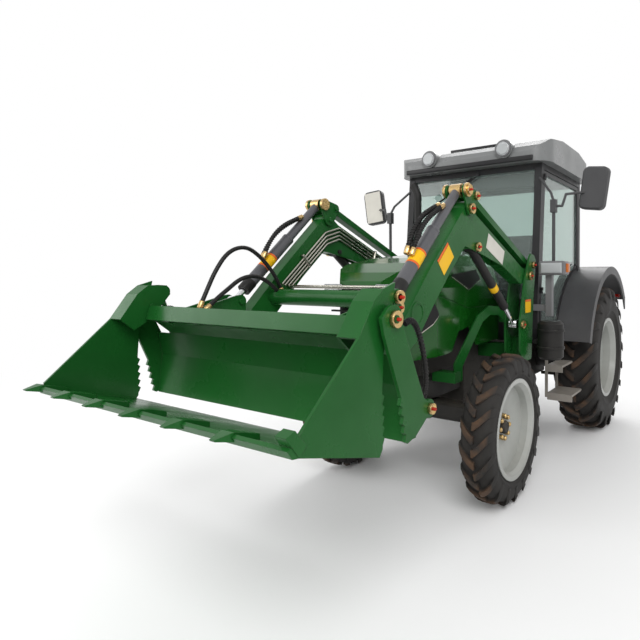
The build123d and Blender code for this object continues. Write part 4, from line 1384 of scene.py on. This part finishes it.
@dataclass
class HoodTrim(Trim):
    """Vents, trims and slats on the hood, its side panels and the nose."""

    vent: Outline = ((-91, 1526), (330, 1568), (356, 1494), (135, 1424))
    slash: Outline = ((-352, 1340), (-306, 1266), (-368, 1211), (-548, 1128))
    slats: int = 9

    def build(self, nodes: dict[str, bpy.types.Object]) -> None:
        """Build the trims on both sides and the nose.

        Args:
            nodes: The frame's objects by node.
        """
        patches = (
            # name, target, body, corners, finish, slot, lift, thickness
            ("vent_frame", "hood", "hood", self.lowered(self.vent, 11), "pipe_steel",
             "green_paint", 0.001, 0.003),
            ("vent", "hood", "hood", self.vent, "grille_black", "grille_black", 0.003, 0.004),
            ("slash_frame", "side_panels", "chassis", self.lowered(self.slash, 10), "pipe_steel",
             "green_paint", 0.001, 0.003),
            ("slash", "side_panels", "chassis", self.slash, "grille_black", "grille_black",
             0.003, 0.004),
        )
        for name, target, body, corners, coat, slot, lift, thick in patches:
            for side in Side:
                places = [self.at(side.value * 420, y, z) for y, z in corners]
                piece = Forge.skin(f"{name}_{side.word}", places, nodes[target], side.value,
                                   lift, thick)
                self.mount(piece, body, slot, coat)
        slat = Forge.block("slat", self.at(-215, -757, 1050), self.at(215, -735, 1062))
        Forge.inset(slat, Forge.facing(y=-1), 0.002, 0.003)
        Forge.soften(slat, 0.002, 2)
        rows = [
            Matrix.Translation((0, 0.062 * (1 - k / (self.slats - 1)), 0.041 * k))
            for k in range(self.slats)
        ]
        slats = Forge.copies(slat, rows, "nose_slats")
        self.mount(slats, "chassis", "grille_black", "chassis_black")
        for side in Side:
            way = side.value
            low = self.at(way * 205 - 62, -752, 1428)
            high = self.at(way * 205 + 62, -690, 1472)
            lamp = Forge.block(f"nose_lamp_{side.word}", low, high)
            Forge.inset(lamp, Forge.facing(y=-1), 0.007, -0.006)
            Forge.soften(lamp, 0.005, 3)
            self.mount(lamp, "chassis", "lamp_plastic", "lens_clear")

    @staticmethod
    def lowered(corners: Outline, drop: float) -> Outline:
        """The same outline a little lower, so that its lower edges show as a trim.

        Args:
            corners: Stations and heights.
            drop: How far the outline moves down.

        Returns:
            The moved corners.
        """
        return tuple((y, z - drop) for y, z in corners)


@dataclass
class CabTrim(Trim):
    """Roof bezels, hatch, antenna, visor, wiper, handles and lamp lenses."""

    roof_lamp: tuple[float, float, float] = (354, 725, 2560)
    hatch: tuple[float, float, float, float] = (-290, 290, 1010, 1560)
    lean: float = 105 / 1110

    def build(self) -> None:
        """Build the cab's small pieces."""
        self.build_roof()
        self.build_screen()
        self.build_sides()

    def build_roof(self) -> None:
        """Lamp bezels, the hatch and the antenna."""
        x, y, z = self.roof_lamp
        for side in Side:
            start = Vector(self.at(side.value * x, y + 1, z))
            bezel = Forge.drum(f"lamp_bezel_{side.word}", start, start - Vector((0, 0.014, 0)),
                               0.066, 48)
            Forge.inset(bezel, Forge.facing(y=-1), 0.010, 0.004)
            Forge.inset(
                bezel,
                lambda f, start=start: f.normal.y < -0.9
                and (f.calc_center_median().xz - start.xz).length < 0.002,
                0.004, -0.008,
            )
            Forge.soften(bezel, 0.002, 2)
            self.mount(bezel, "chassis", "lamp_plastic", "lamp_grey")
            lens = Forge.drum(f"lamp_lens_{side.word}", start - Vector((0, 0.006, 0)),
                              start - Vector((0, 0.016, 0)), 0.058, 48)
            Forge.inset(lens, Forge.facing(y=-1), 0.022, 0.006)
            Forge.soften(lens, 0.003, 2, 15)
            self.mount(lens, "chassis", "lamp_plastic", "lens_clear")
        low_x, high_x, front, rear = self.hatch
        hatch = Forge.block("roof_hatch", self.at(low_x, front, 2655), self.at(high_x, rear, 2688))
        Forge.inset(hatch, Forge.facing(z=1), 0.03, 0.0)
        Forge.inset(hatch, lambda f: f.normal.z > 0.9 and f.calc_area() > 0.1, 0.006, -0.008)
        Forge.soften(hatch, 0.008, 3)
        self.mount(hatch, "chassis", "cab_black", "cab_black")
        stub = Forge.drum("antenna", self.at(470, 1760, 2590), self.at(470, 1775, 2738), 0.006, 16)
        Forge.inset(stub, Forge.facing(z=1), 0.002, 0.004)
        Forge.soften(stub, 0.0015, 2)
        self.mount(stub, "chassis", "cab_black", "cab_black")
        fascia = Forge.block("fascia", self.at(-600, 728, 2446), self.at(600, 748, 2486))
        Forge.inset(fascia, Forge.facing(y=-1), 0.012, 0.004)
        Forge.soften(fascia, 0.006, 3)
        self.mount(fascia, "chassis", "cab_black", "cab_black")

    def build_screen(self) -> None:
        """The sun visor behind the windscreen and the wiper before it."""
        visor = Forge.block("sun_visor", self.at(-560, 782, 2260), self.at(560, 788, 2374))
        Forge.tilt(visor, -math.degrees(math.atan(self.lean)), self.at(0, 785, 1330))
        Forge.inset(visor, lambda f: abs(f.normal.y) > 0.9, 0.012, -0.001)
        Forge.soften(visor, 0.002, 2)
        self.mount(visor, "chassis", "cab_black", "cab_black")
        arm = Forge.hose(
            "wiper_arm",
            [self.at(70, 846, 2398), self.at(40, 846, 2376), self.at(-290, 826, 2150)],
            0.006,
        )
        blade = Forge.hose(
            "wiper_blade", [self.at(10, 853, 2376), self.at(-320, 837, 2185)], 0.008
        )
        hub = Forge.drum("wiper_hub", self.at(70, 872, 2398), self.at(70, 838, 2400), 0.017, 24)
        Forge.soften(hub, 0.003, 2)
        wiper = Forge.joined("wiper", [arm, blade, hub])
        self.mount(wiper, "chassis", "cab_black", "cab_black")

    def build_sides(self) -> None:
        """Door handles, work lamp lenses, indicators and mirror glass, the right glass painted
        plain white as a painted reflection.
        """
        for side in Side:
            way = side.value
            grip = Forge.hose(
                f"door_handle_{side.word}",
                [self.at(way * 636, 1836, 1500), self.at(way * 664, 1836, 1506),
                 self.at(way * 664, 1836, 1620), self.at(way * 636, 1836, 1626)],
                0.008,
            )
            self.mount(grip, f"door_{side.word}", "cab_black", "cab_black")
            lenses = (
                # name, low corner, high corner, way it faces, rim, edge, finish
                ("work_lens", (way * 776 - 82, 653, 1540), (way * 776 + 82, 663, 1618), (0, -1),
                 0.010, 0.003, "lens_clear"),
                ("indicator", (way * 880, 690, 1545), (way * 893, 752, 1612), (way, 0),
                 0.008, 0.003, "lens_orange"),
                ("tail_lamp", (way * 830 - 55, 2748, 1276), (way * 830 + 55, 2798, 1336), (0, 1),
                 0.008, 0.004, "lens_red"),
            )
            for name, low, high, out, rim, edge, coat in lenses:
                lens = Forge.block(f"{name}_{side.word}", self.at(*low), self.at(*high))
                Forge.inset(lens, Forge.facing(*out), rim, 0.004)
                Forge.soften(lens, edge, 2)
                self.mount(lens, "chassis", "lamp_plastic", coat)
            face = -1 if side is Side.RIGHT else 1
            glass = Forge.block(f"mirror_glass_{side.word}", (-0.084, face * 0.0302, -0.148),
                                (0.084, face * 0.0332, 0.148))
            Forge.inset(glass, Forge.facing(y=face), 0.006, -0.001)
            Forge.soften(glass, 0.0008, 1)
            turn = Matrix.Rotation(math.radians(8 * way), 4, "Y") @ Matrix.Rotation(
                math.radians(-10 * way), 4, "Z"
            )
            spot = Matrix.Translation(self.at(way * 1050, 850, 2191))
            glass.data.transform(spot @ turn)
            # The right mirror's glass is plain white paint, a painted reflection; the left one has
            # a real mirror finish.
            coat = "plate_white" if side is Side.RIGHT else "mirror_silver"
            self.mount(glass, "chassis", "rod_chrome", coat)


@dataclass
class SeatPads(Trim):
    """The driver's cushion and backrest, crowned and sewn in channels."""

    def build(self) -> None:
        """Build both pads."""
        pads = (
            # name, low corner, high corner, upward axis, tilt
            ("seat_cushion", (-215, 1345, 1462), (215, 1765, 1500), 2, 0.0),
            ("seat_back", (-205, 1768, 1500), (205, 1802, 1905), 1, -8.0),
        )
        for name, low, high, axis, tilt in pads:
            pad = Forge.block(name, self.at(*low), self.at(*high))
            Forge.faces(pad, lambda f: True)
            bpy.ops.mesh.subdivide(number_cuts=5)
            bpy.ops.object.mode_set(mode="OBJECT")
            puff = pad.modifiers.new("crown", "SUBSURF")
            puff.levels = 2
            Forge.only(pad)
            bpy.ops.object.modifier_apply(modifier=puff.name)
            middle = (Vector(self.at(*low)) + Vector(self.at(*high))) / 2
            Forge.tilt(pad, tilt, middle)
            Forge.crown(pad, axis, 0.018, 0.085)
            Forge.smooth(pad, 60)
            self.mount(pad, "chassis", "seat_vinyl", "seat_vinyl")


@dataclass
class OilLines(Trim):
    """Steel pipes on the arms' inner faces, and hoses from them to the bucket's cylinders."""

    pipe_x: float = 509.0
    pipe_radius: float = 0.007
    pitch: float = 27.0
    count: int = 4
    knee: Spot = (-318.0, 1876.0)
    elbow: Spot = (-468.0, 1834.0)
    start: Spot = (342.0, 1611.0)
    foot: Spot = (-883.0, 1473.0)
    fan: Spot = (23.0, 9.0)
    cross_rise: float = 5.0

    def build(self) -> None:
        """Build the pipes, clamps and hoses of both arms."""
        for side in Side:
            way = side.value
            pipes = []
            for index in range(self.count):
                drop = self.pitch * index
                x = way * self.pipe_x
                route = [
                    self.at(x, self.start[0], self.start[1] - drop),
                    self.at(x, self.knee[0], self.knee[1] - drop),
                    self.at(x, self.elbow[0] + 5 * index, self.elbow[1] - drop),
                ]
                end_y = self.foot[0] + self.fan[0] * index
                end_z = self.foot[1] - self.fan[1] * index
                route.append(self.at(x, end_y, end_z))
                if index >= self.count - 2:
                    for across in (way * (self.pipe_x - 40), 0):
                        route.append(self.at(across, end_y, end_z + self.cross_rise))
                pipes.append(Forge.hose(f"pipe_{index}_{side.word}", Forge.eased(route, 0.03),
                                        self.pipe_radius))
            lines = Forge.joined(f"arm_pipes_{side.word}", pipes)
            self.mount(lines, "boom", "rod_chrome", "pipe_steel")
            self.build_clamps(side)
            self.build_hoses(side)

    def build_clamps(self, side: Side) -> None:
        """Saddles that hold the pipes to the arm.

        Args:
            side: The arm's side.
        """
        saddles = ((104, 1676, -21.9), (-668, 1632, 42.5))
        for index, (y, z, turn) in enumerate(saddles):
            low = self.at(side.value * 496, y - 9, z - 56)
            high = self.at(side.value * 519.6, y + 9, z + 50)
            clamp = Forge.block(f"pipe_clamp_{index}_{side.word}", low, high)
            Forge.tilt(clamp, turn, (Vector(low) + Vector(high)) / 2)
            Forge.inset(clamp, lambda f: f.normal.x * side.value < -0.9, 0.004, 0.003)
            Forge.soften(clamp, 0.003, 2)
            self.mount(clamp, "boom", "rod_chrome", "pipe_steel")

    def build_hoses(self, side: Side) -> None:
        """The looped hoses from the right arm to the bucket.

        Args:
            side: The arm's side.
        """
        if side is Side.LEFT:
            return
        way = side.value
        loops = (
            ((-905, 1420), (-925, 1470), (-990, 1560), (-1085, 1650), (-1190, 1705), (-1310, 1672),
             (-1400, 1560), (-1470, 1420), (-1500, 1360)),
            ((-930, 1400), (-990, 1450), (-1060, 1500), (-1150, 1530), (-1250, 1512),
             (-1340, 1450), (-1420, 1395), (-1480, 1345)),
        )
        for index, places in enumerate(loops):
            x = way * (488 - 26 * index)
            route = [self.at(x, y, z) for y, z in places]
            hose = Forge.hose(f"bucket_hose_{index}_{side.word}", route, 0.0125, 14)
            self.coat(hose, "tyre_rubber", "hose_black")
            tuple(route[1])
            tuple(route[-2])
            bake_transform(hose)
            self.fit_nut(route[0], route[1], "boom", f"{index}_{side.word}")
            self.fit_nut(route[-1], route[-2], "bucket", f"{index}_{side.word}")


@dataclass
class CylinderTrim(Trim):
    """Bands, glands, supply hoses and spiral guards on the loader's cylinders."""

    tilt_pin: Spot = (-488.0, 2033.0)
    tilt_ear: Spot = (-1217.0, 1374.0)
    lift_top: Spot = (-310.0, 1702.0)
    lift_foot: Spot = (425.0, 1155.0)
    centre_x: float = 565.0

    @staticmethod
    def along(start: Spot, end: Spot, reach: float, off: float = 0.0) -> Spot:
        """A point beside a cylinder's axis.

        Args:
            start: Where the axis starts.
            end: Where it ends.
            reach: How far along it the point lies.
            off: How far above the axis it lies.

        Returns:
            The point's station and height.
        """
        length = math.hypot(end[0] - start[0], end[1] - start[1])
        uy, uz = (end[0] - start[0]) / length, (end[1] - start[1]) / length
        up = 1 if uy > 0 else -1
        return start[0] + uy * reach - uz * off * up, start[1] + uz * reach + uy * off * up

    def build(self) -> None:
        """Build the trims of both sides' cylinders."""
        tilt, lift = (self.tilt_pin, self.tilt_ear), (self.lift_top, self.lift_foot)
        rings = (
            # name, body, axis, from, to, radius, finish
            ("tilt_sleeve", "tilt_barrels", tilt, 384, 402, 0.0395, "cylinder_grey"),
            ("tilt_band", "tilt_barrels", tilt, 590, 672, 0.0387, "plate_yellow"),
            ("tilt_band_edge", "tilt_barrels", tilt, 576, 589, 0.0388, "plate_orange"),
            ("tilt_band_foot", "tilt_barrels", tilt, 673, 686, 0.0388, "plate_orange"),
            ("tilt_gland", "tilt_barrels", tilt, 812, 886, 0.0405, "chassis_black"),
            ("lift_band", "lift_barrels", lift, 412, 470, 0.0317, "plate_yellow"),
            ("lift_gland", "lift_barrels", lift, 640, 680, 0.0335, "chassis_black"),
        )
        for side in Side:
            way = side.value
            x = way * self.centre_x
            for name, body, (start, end), low, high, radius, coat in rings:
                ring = Forge.drum(
                    f"{name}_{side.word}", self.at(x, *self.along(start, end, low)),
                    self.at(x, *self.along(start, end, high)), radius, 44,
                )
                Forge.faces(ring, lambda f: f.calc_area() > 0.002)
                bpy.ops.mesh.inset(thickness=radius - 0.0215)
                bpy.ops.mesh.bridge_edge_loops()
                bpy.ops.object.mode_set(mode="OBJECT")
                Forge.soften(Forge.outward(ring), 0.0008, 2)
                self.mount(ring, body, "black_paint", coat)
            self.build_supply(side)

    def build_supply(self, side: Side) -> None:
        """Hoses that bulge over the tilt barrel, and a guarded hose by the clam's cylinder.

        Args:
            side: The loader's side.
        """
        way = side.value
        for index, (x, bulge) in enumerate(((-24, 1.0), (4, 0.8))):
            steps = ((210, 36), (280, 62), (370, 92), (470, 100), (560, 82), (640, 50))
            route = [
                self.at(way * (self.centre_x + x),
                          *self.along(self.tilt_pin, self.tilt_ear, reach, 12 + off * bulge))
                for reach, off in steps
            ]
            tag = f"{index}_{side.word}"
            hose = Forge.hose(f"tilt_hose_{tag}", route, 0.0115, 12)
            guard = Forge.coil(f"tilt_guard_{tag}", route, 0.0135, 0.0028, 26)
            supply = Forge.joined(f"tilt_supply_{tag}", [hose, guard])
            self.mount(supply, "tilt_barrels", "tyre_rubber", "hose_black")
            self.fit_nut(route[-1], route[-2], "tilt_barrels", f"tilt_{tag}")
            self.fit_nut(route[0], route[1], "tilt_barrels", f"neck_{tag}")
        drop = ((-1490, 1330), (-1440, 1345), (-1392, 1300), (-1352, 1210), (-1326, 1110),
                (-1326, 1030), (-1352, 990))
        route = [self.at(way * 850, y, z) for y, z in drop]
        hose = Forge.hose(f"side_hose_{side.word}", route, 0.0105, 12)
        guard = Forge.coil(f"side_guard_{side.word}", route, 0.0125, 0.0026, 34)
        line = Forge.joined(f"side_line_{side.word}", [hose, guard])
        self.mount(line, "bucket", "tyre_rubber", "hose_black")


@dataclass
class ExhaustTip(Trim):
    """The bent end of the exhaust and its heat shield."""

    place: Spot = (-420.0, 640.0)

    def build(self) -> None:
        """Build the tip, open at its end, and the ribbed shield."""
        x, y = self.place
        route = [self.at(x, y, 2190), self.at(x, y, 2262), self.at(x - 52, y, 2326)]
        tip = Forge.hose("exhaust_tip", route, 0.0345, 24)
        way = (Vector(route[2]) - Vector(route[1])).normalized()
        Forge.inset(tip, lambda f: f.normal.dot(way) > 0.97 and f.calc_area() > 0.002, 0.004, 0.0)
        Forge.inset(tip, lambda f: f.normal.dot(way) > 0.97 and f.calc_area() > 0.002
                    and len(f.verts) > 8, 0.0005, -0.03)
        self.mount(tip, "chassis", "black_paint", "chassis_black")
        rib = Forge.drum("rib", self.at(x, y, 1300), self.at(x, y, 1316), 0.0635, 48)
        Forge.inset(rib, lambda f: abs(f.normal.z) > 0.9, 0.004, 0.002)
        Forge.soften(rib, 0.002, 2)
        rows = [Matrix.Translation((0, 0, 0.1 * k)) for k in range(5)]
        ribs = Forge.copies(rib, rows, "exhaust_ribs")
        self.mount(ribs, "chassis", "black_paint", "cast_black")


# Stage, lamps and camera


@dataclass
class Studio:
    """A plain pale floor, soft lamps and a pale world."""

    floor_half: float = 40.0
    floor_tone: Colour = (0.92, 0.92, 0.92, 1.0)
    white_from: float = 3.2
    white_to: float = 7.5
    world_strength: float = 0.62
    lamps: tuple[tuple[str, Point, Point, float, float], ...] = (
        ("key_lamp", (5.0, -7.0, 7.5), (0.0, -0.5, 1.0), 6.0, 620.0),
        ("fill_lamp", (-7.0, -6.0, 4.5), (0.0, -0.5, 1.2), 6.0, 260.0),
        ("back_lamp", (-2.0, 7.0, 6.5), (0.0, 0.5, 1.2), 6.0, 320.0),
    )

    def build(self) -> None:
        """Add the floor, the lamps and the world."""
        Forge.clear()
        bpy.ops.mesh.primitive_plane_add(size=2 * self.floor_half, location=(0, 0, 0))
        floor = Forge.take("studio_floor")
        shade = Shade("studio_floor")
        shade.put({"Base Color": self.floor_tone, "Roughness": 0.9})
        spot = shade.node("TexCoord").outputs["Object"]
        reach = shade.node("VectorMath", {0: spot}, operation="LENGTH").outputs["Value"]
        ends = {"Value": reach, "From Min": self.white_from, "From Max": self.white_to}
        fade = shade.node("MapRange", ends, interpolation_type="SMOOTHSTEP")
        seen = shade.node("LightPath").outputs["Is Camera Ray"]
        share = shade.math("MULTIPLY", fade.outputs["Result"], seen)
        glow = shade.node("Emission").outputs["Emission"]
        mixed = shade.node("MixShader", {"Fac": share, 1: shade.shader.outputs["BSDF"], 2: glow})
        shade.link(mixed.outputs["Shader"], shade.tree.nodes["Material Output"].inputs["Surface"])
        floor.data.materials.append(shade.material)
        for name, place, aim, size, power in self.lamps:
            light = bpy.data.lights.new(name, "AREA")
            light.shape = "DISK"
            light.size = size
            light.energy = power
            lamp = bpy.data.objects.new(name, light)
            bpy.context.scene.collection.objects.link(lamp)
            lamp.location = place
            lamp.rotation_euler = (Vector(aim) - Vector(place)).to_track_quat("-Z", "Y").to_euler()
        self.build_world()

    def build_world(self) -> None:
        """A pale even sky that the camera sees as white."""
        world = bpy.data.worlds.new("studio_world")
        bpy.context.scene.world = world
        world.use_nodes = True
        work = Wiring(world.node_tree)
        white = (1.0, 1.0, 1.0, 1.0)
        sky = work.tree.nodes["Background"]
        sky.inputs["Color"].default_value = white
        sky.inputs["Strength"].default_value = self.world_strength
        seen = work.node("Background", {"Color": white, "Strength": 1.0})
        path = work.node("LightPath").outputs
        direct = work.math("MAXIMUM", path["Is Camera Ray"], path["Is Glossy Ray"])
        clear = work.math("MAXIMUM", direct, path["Is Transmission Ray"])
        lights = {"Fac": clear, 1: sky.outputs["Background"], 2: seen.outputs["Background"]}
        choose = work.node("MixShader", lights)
        work.link(choose.outputs["Shader"], work.tree.nodes["World Output"].inputs["Surface"])


@dataclass
class PhotoCamera:
    """The camera at the photograph's place, angle and framing."""

    place: Point = (2008.0, -3234.0, 1529.0)
    yaw: float = 32.406
    pitch: float = -1.298
    roll: float = 0.199
    focal_px: float = 512.55
    middle_px: tuple[float, float] = (415.27, 286.48)
    frame_px: float = 640.0
    sensor: float = 36.0

    def build(self, layout: Layout) -> None:
        """Add the camera and make it the scene's own.

        Args:
            layout: Turns the camera's place into the frame.
        """
        lens = bpy.data.cameras.new("photo_camera")
        lens.sensor_width = self.sensor
        lens.lens = self.sensor * self.focal_px / self.frame_px
        lens.shift_x = (self.frame_px / 2 - self.middle_px[0]) / self.frame_px
        lens.shift_y = (self.middle_px[1] - self.frame_px / 2) / self.frame_px
        lens.clip_end = 200.0
        camera = bpy.data.objects.new("photo_camera", lens)
        bpy.context.scene.collection.objects.link(camera)
        yaw, pitch = math.radians(self.yaw), math.radians(self.pitch)
        ahead = Vector((
            -math.sin(yaw) * math.cos(pitch), math.cos(yaw) * math.cos(pitch), math.sin(pitch)
        ))
        turn = ahead.to_track_quat("-Z", "Y").to_matrix().to_4x4()
        turn = turn @ Matrix.Rotation(math.radians(-self.roll), 4, "Z")
        camera.matrix_world = Matrix.Translation(layout.at(*self.place)) @ turn
        bpy.context.scene.camera = camera
        bpy.context.scene.view_settings.view_transform = "Standard"
        log.info("camera at %s", tuple(round(v, 3) for v in camera.location))


def main() -> None:
    """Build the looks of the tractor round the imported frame."""
    logging.basicConfig(level=logging.INFO, format="%(name)s: %(message)s")
    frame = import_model()
    layout = Layout()
    finishes = Finishes(layout.wheel)
    CarriedSolids().dress(frame["nodes"], finishes)
    tyres = (
        # end, lugs, lug height, lug width, rim radius
        ("front", 19, 0.030, 0.050, 0.318),
        ("rear", 20, 0.038, 0.066, 0.372),
    )
    trims = (
        # end, outer face from the wheel's middle, bolt circle, cap radius
        ("front", -0.0133, 0.076, 0.045),
        ("rear", -0.0255, 0.101, 0.060),
    )
    tools = (layout, finishes)
    for side in Side:
        for kind, rows in ((Tyre, tyres), (WheelTrim, trims)):
            for end, *sizes in rows:
                place = f"{end}_{side.word}"
                kind(*tools, f"tyre_{place}", f"wheel_{place}", *sizes).build()
    PinHeads(*tools).build()
    Plates(*tools).build()
    HoodTrim(*tools).build(frame["nodes"])
    for kind in (CabTrim, SeatPads, OilLines, CylinderTrim, ExhaustTip):
        kind(*tools).build()
    Studio().build()
    PhotoCamera().build(layout)


if __name__ == "__main__":
    main()
